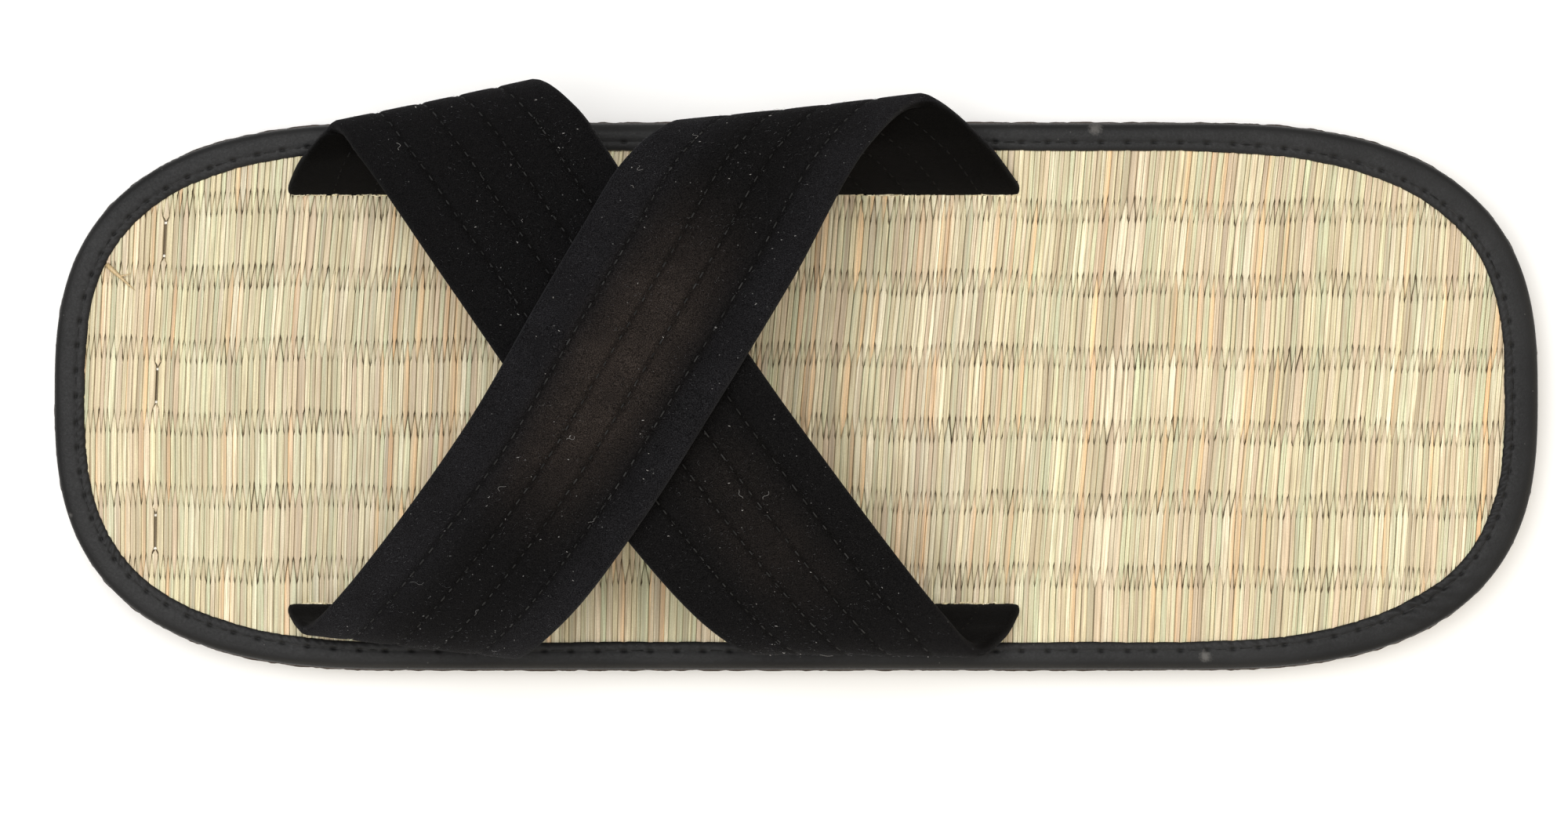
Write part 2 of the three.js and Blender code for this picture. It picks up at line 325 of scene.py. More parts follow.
# %% Starting a material
def new_material(name, **shader_values):
    """A material with a Principled shader; returns it with its tree, shader and place coordinate."""
    material = bpy.data.materials.new(name)
    material.use_nodes = True
    tree = material.node_tree
    tree.nodes.clear()
    shader = add_node(tree, "ShaderNodeBsdfPrincipled")
    add_node(tree, "ShaderNodeOutputMaterial", {"Surface": shader.outputs["BSDF"]})
    for label, value in shader_values.items():
        shader.inputs[label.replace("_", " ")].default_value = value
    place = add_node(tree, "ShaderNodeTexCoord").outputs["Object"]
    return material, tree, shader, place


def group_outputs(tree, group, inputs):
    """Places a shared group with its inputs and returns its outputs."""
    return add_node(tree, "ShaderNodeGroup", inputs, node_tree=group).outputs


def grain_at(tree, place, scale):
    """Outputs of the shared grain at a place."""
    return group_outputs(tree, GRAIN, {"Vector": place, "Scale": scale})


def speck_mask(tree, place, scale, share):
    """Where the shared specks lie at a place."""
    inputs = {"Vector": place, "Scale": scale, "Share": share}
    return group_outputs(tree, SPECKS, inputs)["Mask"]


def add_bump(tree, shader, height, strength, depth):
    """Lets a height push the shading normal; depth is in millimetres."""
    inputs = {"Strength": strength, "Distance": depth * MM, "Height": height}
    bump = add_node(tree, "ShaderNodeBump", inputs)
    tree.links.new(bump.outputs[0], shader.inputs["Normal"])


def two_tone_material(name, scale, darker, lighter, **shader_values):
    """A plain fibre whose tone changes in patches between two colours."""
    material, tree, shader, place = new_material(name, **shader_values)
    colour = blend_colours(tree, grain_at(tree, place, scale)["Patch"], darker, lighter)
    tree.links.new(colour, shader.inputs["Base Color"])
    return material


# %% [markdown]
# Rush dries to straw, cream, grey-green and a warm tan, and every strand keeps its own shade.
# Painting that with noise alone looks like wood, so each strand carries its colour in its mesh, with
# shade painted into its seams and tips, and the material adds streaks and mottling along it and a
# slight natural gloss.


# %% Rush material
def rush_material():
    material, tree, shader, _ = new_material("rush", Specular_IOR_Level=0.75)
    colour = add_node(tree, "ShaderNodeAttribute", attribute_name="strand_colour").outputs["Color"]
    place = add_node(tree, "ShaderNodeAttribute", attribute_name="strand_place").outputs["Vector"]
    streaks = group_outputs(tree, STREAKS, {"Vector": place, "Across": 3.3, "Along": 0.06})
    grain = grain_at(tree, place, 4.2)
    shade = ramp(tree, streaks["Band"], 0.0, 1.0, 0.84, 1.17)
    mottled = math_node(tree, "MULTIPLY", shade, ramp(tree, grain["Fine"], 0.3, 0.7, 0.88, 1.12))
    shaded = blend_colours(tree, 1.0, colour, mottled, "MULTIPLY")
    rosy = ramp(tree, streaks["Band"], 0.0, 0.6, 0.3, 0.0)
    shaded = blend_colours(tree, rosy, shaded, (0.5, 0.36, 0.25, 1.0))
    lines = math_node(tree, "MULTIPLY", streaks["Line"], 0.55)
    lined = blend_colours(tree, lines, shaded, (0.3, 0.22, 0.12, 1.0))
    tree.links.new(lined, shader.inputs["Base Color"])
    tree.links.new(ramp(tree, streaks["Band"], 0.0, 1.0, 0.62, 0.46), shader.inputs["Roughness"])
    add_bump(tree, shader, streaks["Band"], 0.5, 0.1)
    return material


def mat_core_material():
    """The layers of strands below the top ones, seen only through gaps and at the slits."""
    material, tree, shader, place = new_material("mat_core", Roughness=0.85)
    streaks = group_outputs(tree, STREAKS, {"Vector": place, "Across": 1500.0, "Along": 60.0})
    # painted shade: the lower strands are coloured dark brown, as they look in the shade between floats
    shaded_brown = blend_colours(tree, streaks["Band"], (0.065, 0.044, 0.023, 1.0), (0.17, 0.122, 0.068, 1.0))
    tree.links.new(shaded_brown, shader.inputs["Base Color"])
    add_bump(tree, shader, streaks["Band"], 0.6, 0.3)
    return material


def warp_material():
    """White cotton threads that bind the strands."""
    material, tree, shader, place = new_material("warp_cotton", Roughness=0.9)
    grain = grain_at(tree, place, 3000.0)
    white = blend_colours(tree, grain["Fine"], (0.62, 0.58, 0.5, 1.0), (0.85, 0.82, 0.76, 1.0))
    tree.links.new(white, shader.inputs["Base Color"])
    add_bump(tree, shader, grain["Fine"], 0.5, 0.15)
    return material


RUSH = rush_material()
MAT_CORE = mat_core_material()
WARP = warp_material()
print("rush materials:", RUSH.name, MAT_CORE.name, WARP.name)

# %% [markdown]
# In rush matting every strand runs the whole width of the foot. It goes over two cotton threads and
# under the next two, and its neighbour does the opposite. What shows is rows of floats that narrow to
# points and dive between the floats of the next row. So the strands are laid first, as one list from
# heel to toe, and each then gives one float in every second row.

# %% Lay the strands from heel to toe
ROW_PITCH = 13.75
ROW_START = 5.85
ROW_LEAN = -0.0085
ROWS = range(-4, 3)
STRANDS_DRAWN = 900
STRAND_PITCH = 0.49
STRAND_SPREAD = 0.27
STRAND_LEAN = 0.064
LEAN_CHANGE = -0.0002
STRAND_BOW = -0.00035
STRAND_MARGIN = 5.0
TAPE_LIP = 5.6
UNDER_TAPE = 0.7
SIDE_BLEND = 0.25
GAP_AT = 119.2
RUSH_SHADES = (
    # share, red, green, blue (linear)
    (0.30, 0.54, 0.475, 0.285),
    (0.18, 0.64, 0.58, 0.405),
    (0.21, 0.45, 0.46, 0.285),
    (0.19, 0.525, 0.41, 0.27),
    (0.05, 0.60, 0.37, 0.17),
    (0.07, 0.32, 0.25, 0.15),
)
rng = np.random.default_rng(11)
mat_half = SOLE_LENGTH / 2 - TAPE_LIP


def strand_path(x, y):
    """Where a strand that starts at x lies at y: all lean and sway together."""
    sway = 0.3 * np.sin(0.045 * y + 0.021 * x) + 0.16 * np.sin(0.13 * y - 0.05 * x + 1.0)
    return x + (STRAND_LEAN + LEAN_CHANGE * x) * y + STRAND_BOW * y * y + sway


strand_steps = STRAND_PITCH * rng.lognormal(0, STRAND_SPREAD, STRANDS_DRAWN)
strand_x = -mat_half - STRAND_MARGIN + np.cumsum(strand_steps)
strand_x = strand_x[strand_x < mat_half + STRAND_MARGIN]
test_y = np.arange(-SOLE_WIDTH / 2, SOLE_WIDTH / 2, 0.1)
test_reach = side_reach(strand_path(strand_x[:, None], test_y), TAPE_LIP - UNDER_TAPE)
inside = np.abs(test_y) < test_reach
strand_low = np.where(inside, test_y, np.inf).min(1)
strand_high = np.where(inside, test_y, -np.inf).max(1)
shade_table = np.array(RUSH_SHADES)
shade_drawn = rng.choice(len(shade_table), (len(strand_x), 2), p=shade_table[:, 0])
own_shade = shade_table[shade_drawn, 1:]
other_shade = shade_table[shade_drawn[:, ::-1], 1:]
strand_colour = (1 - SIDE_BLEND) * own_shade + SIDE_BLEND * other_shade
broken_strand = int(np.argmin(np.abs(strand_x - GAP_AT)))
broken_strand += 1 - broken_strand % 2
print(len(strand_x), "strands, one broken at", round(strand_x[broken_strand], 1))

# %% [markdown]
# A float ends early at the tape, and where a slit for a strap cuts it. The slits lie along the foot,
# one pair on each side, and the knife leaves the ends a little uneven.

# %% Cut the floats at the tape and the slits
FLOAT_REACH = 9.1
SHORTEST_FLOAT = 0.8
ROW_WAVE = 0.35
WAVE_ALONG = 0.19
WAVE_BY_ROW = 0.6
ROW_SCATTER = 0.26
KNIFE_SCATTER = 0.06
STRAP_WIDTH = 37.5
STRAP_THICKNESS = 2.4
SLIT_WIDTH = 2.7
SLIT_LENGTH = STRAP_WIDTH - 2.0
SLITS = {
    "toe right": (76.8, -39.2),
    "heel right": (-23.2, -39.2),
    "toe left": (76.8, 40.3),
    "heel left": (-23.2, 40.3),
}


def row_middle(row, x):
    """Where the middle of a row lies at x: the rows lean a little along the foot."""
    return ROW_START + ROW_LEAN * x + ROW_PITCH * (row + 0.5)


def cut_by_slits(x, low, high):
    """The stretches of a strand between low and high that the slits leave."""
    stretches = [(low, high)]
    for slit_x, slit_y in SLITS.values():
        if abs(strand_path(x, slit_y) - slit_x) > SLIT_LENGTH / 2:
            continue
        near, far = slit_y + np.array([-0.5, 0.5]) * SLIT_WIDTH + rng.normal(0, KNIFE_SCATTER, 2)
        stretches = [s for a, b in stretches for s in ((a, min(b, near)), (max(a, far), b))]
    return [(a, b) for a, b in stretches if b - a > SHORTEST_FLOAT]


floats = []
for strand in range(1, len(strand_x) - 1):
    for row in ROWS:
        if (row + strand) % 2:
            continue
        waver = ROW_WAVE * math.sin(WAVE_ALONG * strand_x[strand] + WAVE_BY_ROW * row)
        middle = row_middle(row, strand_x[strand]) + waver + rng.normal(0, ROW_SCATTER)
        low = max(middle - FLOAT_REACH, strand_low[strand])
        high = min(middle + FLOAT_REACH, strand_high[strand])
        floats += [(strand, row, middle, a, b) for a, b in cut_by_slits(strand_x[strand], low, high)]
print(len(floats), "floats in", len(ROWS), "rows")

# %% [markdown]
# A float is a flattened tube. It keeps its full width over the middle of its row, narrows to a point
# past the row's edge, and sinks there under the next row. Some seams between floats are deep and
# others nearly closed. One strand is broken, and where it shows in a row, its neighbours partly close
# the gap. All floats are worked out together as one array, ring by ring.

# %% Shape the floats
RING_PLACES = np.array([-9.1, -7.8, -6.8, -6.0, -5.2, -4.4, -3.5, 3.5, 4.4, 5.2, 6.0, 6.8, 7.8, 9.1])
FLOAT_RINGS = len(RING_PLACES)
FLOAT_FULL = 4.4
NECK_AT = 0.17
NECK_LENGTH = 0.13
NECK_DEPTHS = (-0.06, 0.29)
TAPER_POWER = 1.17
TIP_SHARE = 0.04
GAP_REACH = 3.8
GAP_CLOSED = 0.32
SAG = 0.1
DIVE = 0.32
LIFT_SCATTER = 0.035
SET_BACK = 0.08
LOST_DEPTH = 0.5
SEAM_DEPTHS = (0.3, 1.0)
SEAM_CHANGES = (0.4, 1.1)
VALLEY_DEPTHS = (-0.05, 0.12)
VALLEY_LEAST = -0.02
strand_of, row_of, float_mid, float_low, float_high = (np.array(column) for column in zip(*floats))
strand_of = strand_of.astype(int)
count = len(floats)
ring_y = np.clip(float_mid[:, None] + RING_PLACES, float_low[:, None], float_high[:, None])
from_mid = ring_y - float_mid[:, None]
off_mid = np.abs(from_mid)
taper = np.clip((off_mid - FLOAT_FULL) / (FLOAT_REACH - FLOAT_FULL), 0, 1)
taper[(row_of == max(ROWS))[:, None] & (from_mid > 0)] = 0
taper[(row_of == min(ROWS))[:, None] & (from_mid < 0)] = 0
neck_shape = np.exp(-(((taper - NECK_AT) / NECK_LENGTH) ** 2)) * (taper > 0)


def side_share():
    """Width of one side of each float: full, a neck where it starts to dive, then a long point."""
    low_neck, high_neck = np.maximum(rng.uniform(*NECK_DEPTHS, (2, count, 1)), 0)
    neck = np.where(from_mid < 0, low_neck, high_neck)
    return np.maximum(1 - taper**TAPER_POWER - neck * neck_shape, TIP_SHARE)


ring_x = strand_path(strand_x[strand_of][:, None], ring_y)
left_width = (strand_x[strand_of] - strand_x[strand_of - 1])[:, None] * side_share()
right_width = (strand_x[strand_of + 1] - strand_x[strand_of])[:, None] * side_share()
in_gap = off_mid < GAP_REACH
gap_closed = GAP_CLOSED * (strand_x[broken_strand + 1] - strand_x[broken_strand - 1]) * in_gap
right_width += gap_closed * (strand_of == broken_strand - 2)[:, None]
left_width += gap_closed * (strand_of == broken_strand + 2)[:, None]
lost = in_gap & (strand_of == broken_strand)[:, None]
left_width[lost] *= TIP_SHARE
right_width[lost] *= TIP_SHARE
dive = SAG * smooth_step(3.0, 6.0, off_mid) + DIVE * smooth_step(6.4, FLOAT_REACH, off_mid)
lift = rng.normal(0, LIFT_SCATTER, count)[:, None] - dive - SET_BACK - LOST_DEPTH * lost
seam = rng.uniform(*SEAM_DEPTHS, (count, 1, 2)) * rng.uniform(*SEAM_CHANGES, (count, FLOAT_RINGS, 2))
valley = np.maximum(rng.uniform(*VALLEY_DEPTHS, (count, 1)), VALLEY_LEAST) * (1 - taper)
print("float length", round(float(np.mean(float_high - float_low)), 1), "mm on average")

# %% Build the floats, row by row
SIDES = 6
EDGE_DROP = 0.14
SHOULDER = 0.66
SHOULDER_DROP = 0.02
CREST = 0.05
STRAND_DEPTH = 0.7
# painted shade: how much darker the seams between floats, the valleys and the tips are coloured
SEAM_PAINTED_SHADE = 0.55
VALLEY_PAINTED_SHADE = 3.2
TIP_PAINTED_SHADE = 0.2
OWN_SCATTER = 0.07
SEED_STEP = 7.3


def float_points():
    """Points of every float, five over the top and one underneath, and their offsets across."""
    share = np.array([-1, -SHOULDER, CREST, SHOULDER, 1, 0])
    drop = np.zeros((count, FLOAT_RINGS, SIDES))
    drop[..., [0, 4]] = EDGE_DROP * seam
    drop[..., [1, 3]] = SHOULDER_DROP
    drop[..., 2] = valley
    drop[..., 5] = STRAND_DEPTH
    offset = share * np.where(share < 0, left_width[..., None], right_width[..., None])
    y = np.repeat(ring_y[..., None], SIDES, 2)
    z = MAT_TOP + lift[..., None] - drop
    return np.stack([ring_x[..., None] + offset, y, z], -1), offset


def float_colours():
    """Colour at each point: one tone on each side of a float, with shade painted at its tips and seams."""
    side_shade = strand_colour[strand_of][:, [0, 0, 0, 1, 1, 1]]
    # painted shade: darker between floats, in the valley of each float and towards its tips
    edge = np.ones((count, FLOAT_RINGS, SIDES))
    edge[..., [0, 4]] -= SEAM_PAINTED_SHADE * seam
    edge[..., 2] -= VALLEY_PAINTED_SHADE * np.maximum(valley, 0)
    own = rng.normal(1, OWN_SCATTER, (count, 1, 1, 1)) * (1 - TIP_PAINTED_SHADE * taper[..., None, None])
    colour = side_shade[:, None] * edge[..., None] * own
    return np.concatenate([np.clip(colour, 0.02, 0.95), np.ones(colour.shape[:3] + (1,))], -1)


def set_strand_attributes(made, colours, places):
    """Stores colours on the points, and places across and along the strand with a seed."""
    layer = made.data.attributes.new("strand_colour", "FLOAT_COLOR", "POINT")
    layer.data.foreach_set("color", np.asarray(colours, np.float32).ravel())
    layer = made.data.attributes.new("strand_place", "FLOAT_VECTOR", "POINT")
    layer.data.foreach_set("vector", np.asarray(places, np.float32).ravel())


all_points, all_offsets = float_points()
all_colours = float_colours()
seeds = np.broadcast_to((SEED_STEP * strand_of)[:, None, None], all_offsets.shape)
all_places = np.stack([all_offsets, all_points[..., 1], seeds], -1)
ROW_PIECES = {"rush_rows_right": (-4, -3, -2), "rush_rows_middle": (-1, 0), "rush_rows_left": (1, 2)}
for name, rows in ROW_PIECES.items():
    chosen = np.isin(row_of, rows)
    faces = tube_faces(int(chosen.sum()), FLOAT_RINGS, SIDES)
    rush_rows = mesh_piece(name, all_points[chosen], faces, RUSH)
    set_strand_attributes(rush_rows, all_colours[chosen], all_places[chosen])
    dress(rush_rows, "rush", *(["insole_mat"] if name == "rush_rows_middle" else []))

# %% [markdown]
# Under the floats lies the rest of the mat: strands that are diving, backing and glue. It shows only
# as shade between floats, so the mat's own solid does this job, pressed down by the height of the
# strands and coloured dark brown as painted shade.

# %% Core of the mat
STRAND_HEIGHT = 0.75
TOP_LAYER = 0.05
core = bpy.data.objects.new("mat_core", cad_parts["insole_mat"].data.copy())
bpy.context.scene.collection.objects.link(core)
for vertex in core.data.vertices:
    if vertex.co.z > (MAT_TOP - TOP_LAYER) * MM:
        vertex.co.z -= STRAND_HEIGHT * MM
core.data.materials.clear()
core.data.materials.append(MAT_CORE)
dress(core, "rush")
print("core top at", round(max(v.co.z for v in core.data.vertices) / MM, 2), "mm")

# %% [markdown]
# The cotton threads run along the foot, two under each row. They show only where a strand is broken,
# as white dots at both ends of the gap, but they are laid whole so that any gap shows them.

# %% Cotton warp threads
WARP_OFF_MIDDLE = 3.1
WARP_RADIUS = 0.28
WARP_DEPTH = 0.6
WARP_STEP = 4.0


def warp_stretches(row, off_middle):
    """Runs of points along one thread, broken where a slit or the tape stops it."""
    x = np.arange(-mat_half, mat_half, WARP_STEP)
    y = row_middle(row, x) + off_middle
    kept = np.abs(y) < side_reach(x, TAPE_LIP) - 0.5
    for slit_x, slit_y in SLITS.values():
        kept &= (np.abs(x - slit_x) > SLIT_LENGTH / 2 + 1) | (np.abs(y - slit_y) > SLIT_WIDTH / 2 + 0.5)
    runs = np.split(np.arange(len(x)), np.flatnonzero(np.diff(kept.astype(int))) + 1)
    level = np.full(len(x), MAT_TOP - WARP_DEPTH)
    return [np.stack([x, y, level], 1)[run] for run in runs if kept[run[0]] and len(run) > 2]


warp_points, warp_faces = [], []
for row in ROWS:
    for off_middle in (-WARP_OFF_MIDDLE, WARP_OFF_MIDDLE):
        for path in warp_stretches(row, off_middle):
            tube = round_tubes(path[None], WARP_RADIUS, UP)
            start = sum(len(points) for points in warp_points)
            warp_faces += [[start + i for i in face] for face in tube_faces(1, len(path), 6)]
            warp_points.append(tube.reshape(-1, 3))
dress(mesh_piece("warp_threads", np.concatenate(warp_points), warp_faces, WARP), "rush")

# %% [markdown]
# Worn matting has broken strands. One has sprung up near the toe and forks at its end, and the knife
# that cut the slits left short frayed ends, which lie along the straps. Each is a tapering tube of
# the same rush.

# %% Broken strands and frays
SPRUNG_STRANDS = (
    # radius, then points from root to tip
    (0.45, (129.6, -24.8, 0.0), (127.9, -23.2, 0.5), (126.1, -21.6, 0.6), (124.3, -19.9, 0.2)),
    (0.22, (127.2, -22.6, 0.5), (126.6, -22.7, 0.6), (125.6, -22.9, 0.7), (124.9, -23.2, 0.4)),
)
SPRUNG_COLOUR = (0.46, 0.34, 0.17)
FRAYS_PER_SLIT = 90
FRAY_ROOT = -0.15
FRAY_ALONG = 1.3
FRAY_OVER = (-0.2, 0.25)
FRAY_RISE = (0.05, 0.4)
FRAY_BOW = 0.1
FRAY_RADII = (0.1, 0.2)
FRAY_BRIGHTNESS = 1.2
LOOSE_RINGS = 6
rng = np.random.default_rng(23)
loose_paths = [through(points, np.linspace(0, 1, LOOSE_RINGS)) for _, *points in SPRUNG_STRANDS]
loose_radius = [radius for radius, *_ in SPRUNG_STRANDS]
for slit_x, slit_y in SLITS.values():
    for _ in range(FRAYS_PER_SLIT):
        edge = rng.choice([-1, 1])
        root_x = slit_x + rng.uniform(-0.5, 0.5) * SLIT_LENGTH
        root = np.array([root_x, slit_y + edge * SLIT_WIDTH / 2, FRAY_ROOT])
        lean = [rng.normal(0, FRAY_ALONG), -edge * rng.uniform(*FRAY_OVER), rng.uniform(*FRAY_RISE)]
        tip = root + np.array(lean)
        bow = (root + tip) / 2 + rng.normal(0, FRAY_BOW, 3)
        loose_paths.append(through([root, bow, tip], np.linspace(0, 1, LOOSE_RINGS)))
        loose_radius.append(rng.uniform(*FRAY_RADII))
loose_paths = np.array(loose_paths) + [0, 0, MAT_TOP]
loose_taper = np.array(loose_radius)[:, None] * (1.05 - np.linspace(0, 1, LOOSE_RINGS) ** 1.5)
loose_points = round_tubes(loose_paths, loose_taper, np.array([0.3, 0.1, 1.0]))
loose = mesh_piece("loose_strands", loose_points, tube_faces(len(loose_paths), LOOSE_RINGS, 6), RUSH)
loose_colours = np.ones(loose_points.shape[:3] + (4,))
fray_shades = shade_table[rng.choice([0, 1, 1], len(loose_paths)), 1:]
loose_colours[..., :3] = FRAY_BRIGHTNESS * fray_shades[:, None, None]
loose_colours[: len(SPRUNG_STRANDS), ..., :3] = SPRUNG_COLOUR
set_strand_attributes(loose, loose_colours, loose_points)
dress(loose, "rush")

# %% [markdown]
# The tape is a strip of black coated cloth, folded round the mat's edge and sewn down with one row of
# stitches. The thread pulls a groove into it near its inner edge. The cloth has no stretch, so it
# gathers where the sole turns. The material needs only a fine grain, a little unevenness, a few pale
# rubs and shade painted into the needle holes.

# %% Tape material
TAPE_SCUFFS = (
    # x, y, height, size
    (-56.2, -50.5, 14.7, 2.6),
    (-76.9, 48.8, 14.7, 2.2),
    (136.7, 22.4, 14.7, 1.3),
)
TAPE_TONES = ((0.0062, 0.0062, 0.0066, 1.0), (0.0118, 0.0118, 0.0122, 1.0))
SCUFF_STRENGTH = 0.3


def tape_material():
    material, tree, shader, place = new_material("tape", Specular_IOR_Level=0.17)
    grain = grain_at(tree, place, 2400.0)
    colour = blend_colours(tree, grain["Patch"], *TAPE_TONES)
    specks = speck_mask(tree, place, 1300.0, 0.02)
    dusty = math_node(tree, "MULTIPLY", specks, 0.12)
    colour = blend_colours(tree, dusty, colour, (0.3, 0.29, 0.27, 1.0))
    for x, y, height, size in TAPE_SCUFFS:
        inputs = {"Vector": place, "Place": (x * MM, y * MM, height * MM), "Size": size * MM}
        mask = math_node(tree, "MULTIPLY", group_outputs(tree, SCUFF, inputs)["Mask"], SCUFF_STRENGTH)
        colour = blend_colours(tree, mask, colour, (0.22, 0.21, 0.2, 1.0))
    # painted shade: the needle holes are coloured nearly black
    hole = add_node(tree, "ShaderNodeAttribute", attribute_name="needle_hole_shade").outputs["Fac"]
    colour = blend_colours(tree, hole, colour, (0.002, 0.002, 0.002, 1.0))
    tree.links.new(colour, shader.inputs["Base Color"])
    tree.links.new(ramp(tree, grain["Fine"], 0.3, 0.7, 0.42, 0.62), shader.inputs["Roughness"])
    add_bump(tree, shader, grain["Fine"], 0.5, 0.1)
    return material


def thread_material(name, lightest):
    """Dull black sewing thread, lighter in patches of wear."""
    material, tree, shader, place = new_material(name, Roughness=0.7, Specular_IOR_Level=0.15)
    grain = grain_at(tree, place, 14000.0)
    tone = ramp(tree, grain["Patch"], 0.0, 1.0, 0.12 * lightest, lightest)
    tree.links.new(tone, shader.inputs["Base Color"])
    return material


TAPE = tape_material()
THREAD = thread_material("thread", 0.024)
# a painted-shade copy of the thread for the inner face, far darker than the same thread outside
INNER_THREAD_SHADED = thread_material("inner_thread_in_shade", 0.003)
print("tape materials:", TAPE.name, THREAD.name, INNER_THREAD_SHADED.name)

# %% [markdown]
# The tape's section is drawn once, as a strip that wraps the edge, and swept round the outline. Along
# the way it is pressed down at every needle hole, its inner edge is scalloped between holes, and at
# the ends it gathers into slanting wrinkles. On the right side its two ends lie over each other. It
# lies wider round the toe and the heel, and it is creased at the heel's left corner.

# %% Sew the tape round the mat
TAPE_SECTION = (
    # inset from the sole's outline and height: under the mat, round the edge, over to the lip, back
    (5.4, 10.35),
    (2.0, 10.35),
    (0.7, 10.7),
    (0.45, 11.6),
    (0.45, 13.4),
    (0.8, 14.25),
    (1.5, 14.66),
    (2.4, 14.8),
    (3.3, 14.79),
    (3.75, 14.71),
    (4.0, 14.66),
    (4.25, 14.7),
    (4.7, 14.7),
    (5.2, 14.6),
    (5.6, 14.36),
    (5.4, 14.02),
    (4.6, 13.95),
    (2.0, 13.9),
    (1.65, 13.3),
    (1.65, 11.7),
    (2.0, 11.3),
    (5.4, 11.2),
)
TAPE_STATIONS = 1800
TAPE_POINTS = 36
TAPE_GROOVE = 4.0
TAPE_STITCH = 5.0
GROOVE_WIDTH = 0.3
HOLE_SIZE = 0.42
HOLE_DEPTH = 0.34
GATHER_PITCH = 1.9
GATHER_HEIGHT = 0.1
CREASE_AT = -120.0
CREASE_REACH = 10.0
CREASE_HEIGHT = 0.16
CREASE_TURNS = (1.3, 2.4)
JOIN_FROM, JOIN_TO = 25.0, 37.5
JOIN_RISE = 0.25
TOE_EXTRA = 0.6
HEEL_EXTRA = 1.2


def wander(values, size, seed):
    """Smooth random values, about -1 to 1, that change over the given size."""
    return np.array([1.6 * noise.noise(Vector((value / size, seed, 0.5))) for value in values])


def tape_extra(x):
    """How much wider the tape lies round the toe and the heel than along the sides."""
    return TOE_EXTRA * smooth_step(65, 125, x) + HEEL_EXTRA * smooth_step(65, 125, -x)


outline, inward, around = sole_outline(TAPE_STATIONS)
tape_run = (np.arange(TAPE_STATIONS) + 0.5) / TAPE_STATIONS * around
stitch_pitch = around / round(around / TAPE_STITCH)
section = through(TAPE_SECTION + TAPE_SECTION[:1], np.arange(TAPE_POINTS) / TAPE_POINTS)[::-1]
inset, height = section[None, :, 0], section[None, :, 1]
on_top = smooth_step(MAT_TOP - 0.2, MAT_TOP + 0.05, height) * smooth_step(1.2, 2.2, inset)
groove = np.exp(-(((inset - TAPE_GROOVE) / GROOVE_WIDTH) ** 2)) * on_top
lip = smooth_step(4.0, 4.9, inset) * on_top
to_hole = np.abs((tape_run / stitch_pitch + 0.5) % 1 - 0.5) * stitch_pitch
pull = np.exp(-((to_hole / HOLE_SIZE) ** 2))[:, None]
turning = smooth_step(68, 100, np.abs(outline[:, 0]))
strength = (0.25 + 0.75 * turning) * (0.6 + 0.6 * wander(tape_run, 16, 1.0))
wave = 2 * np.pi * tape_run / GATHER_PITCH + 3.0 * wander(tape_run, 8, 2.0)
gather = strength[:, None] * np.sin(wave[:, None] + 3.2 * (inset - TAPE_GROOVE))
slant = outline[:, :1] + 0.8 * (inset - 3)
doubled = smooth_step(JOIN_FROM, JOIN_FROM + 0.8, slant) - smooth_step(JOIN_TO, JOIN_TO + 0.8, slant)
doubled = doubled * (outline[:, 1:] < 0) * on_top
gathered = GATHER_HEIGHT * gather * smooth_step(3.4, 4.6, inset) * on_top
rise = gathered - HOLE_DEPTH * pull * groove - 0.05 * pull * lip
creased = np.exp(-(((outline[:, :1] - CREASE_AT) / CREASE_REACH) ** 2)) * (outline[:, 1:] > 0) * on_top
crease_wave = np.sin(CREASE_TURNS[0] * tape_run[:, None] + CREASE_TURNS[1] * inset)
rise = rise + CREASE_HEIGHT * creased * crease_wave
rise = rise + JOIN_RISE * doubled + 0.05 * wander(tape_run, 4, 3.0)[:, None] * on_top
wider = tape_extra(outline[:, :1]) * smooth_step(1.2, 3.6, inset) * smooth_step(13.4, 13.8, height)
shift = wider + 0.04 * gather * lip - 0.1 * pull * lip + 0.12 * wander(tape_run, 9, 4.0)[:, None] * lip
tape_xy = outline[:, None] + inward[:, None] * (inset + shift)[..., None]
tape_points = np.concatenate([tape_xy, (height + rise)[..., None]], -1)
tape_faces = wall_faces(TAPE_STATIONS, TAPE_POINTS, joined=True).tolist()
tape = mesh_piece("tape", tape_points, tape_faces, TAPE)
# painted shade in the needle holes, strongest where the groove is pressed in
layer = tape.data.attributes.new("needle_hole_shade", "FLOAT", "POINT")
layer.data.foreach_set("value", np.clip(1.2 * pull * groove, 0, 1).astype(np.float32).ravel())
dress(tape, "tape", "binding")


# %% Stitches of the tape
def outline_at(run, inset_by):
    """Points at a run round the outline, moved in."""
    stops = np.stack([np.interp(run, tape_run, outline[:, i], period=around) for i in (0, 1)], -1)
    aside = np.stack([np.interp(run, tape_run, inward[:, i], period=around) for i in (0, 1)], -1)
    return stops + inset_by * aside


DASH_RINGS = 5
TAPE_THREAD_RADIUS = 0.15
HOLE_GAP = 0.35
STITCH_LIFT = 0.3
STITCH_DIP = 0.5
stitch_starts = np.arange(round(around / TAPE_STITCH)) * stitch_pitch
along_stitch = np.linspace(0, 1, DASH_RINGS)
stitch_runs = stitch_starts[:, None] + HOLE_GAP + along_stitch * (stitch_pitch - 2 * HOLE_GAP)
stitch_level = MAT_TOP + STITCH_LIFT - STITCH_DIP * np.abs(2 * along_stitch - 1) ** 4
stitch_xy = outline_at(stitch_runs, TAPE_GROOVE + tape_extra(outline_at(stitch_runs, 0.0)[..., :1]))
stitch_z = np.broadcast_to(stitch_level, stitch_runs.shape)[..., None]
stitch_paths = np.concatenate([stitch_xy, stitch_z], -1)
tape_stitches = round_tubes(stitch_paths, TAPE_THREAD_RADIUS, UP)
stitch_faces = tube_faces(len(stitch_starts), DASH_RINGS, 6)
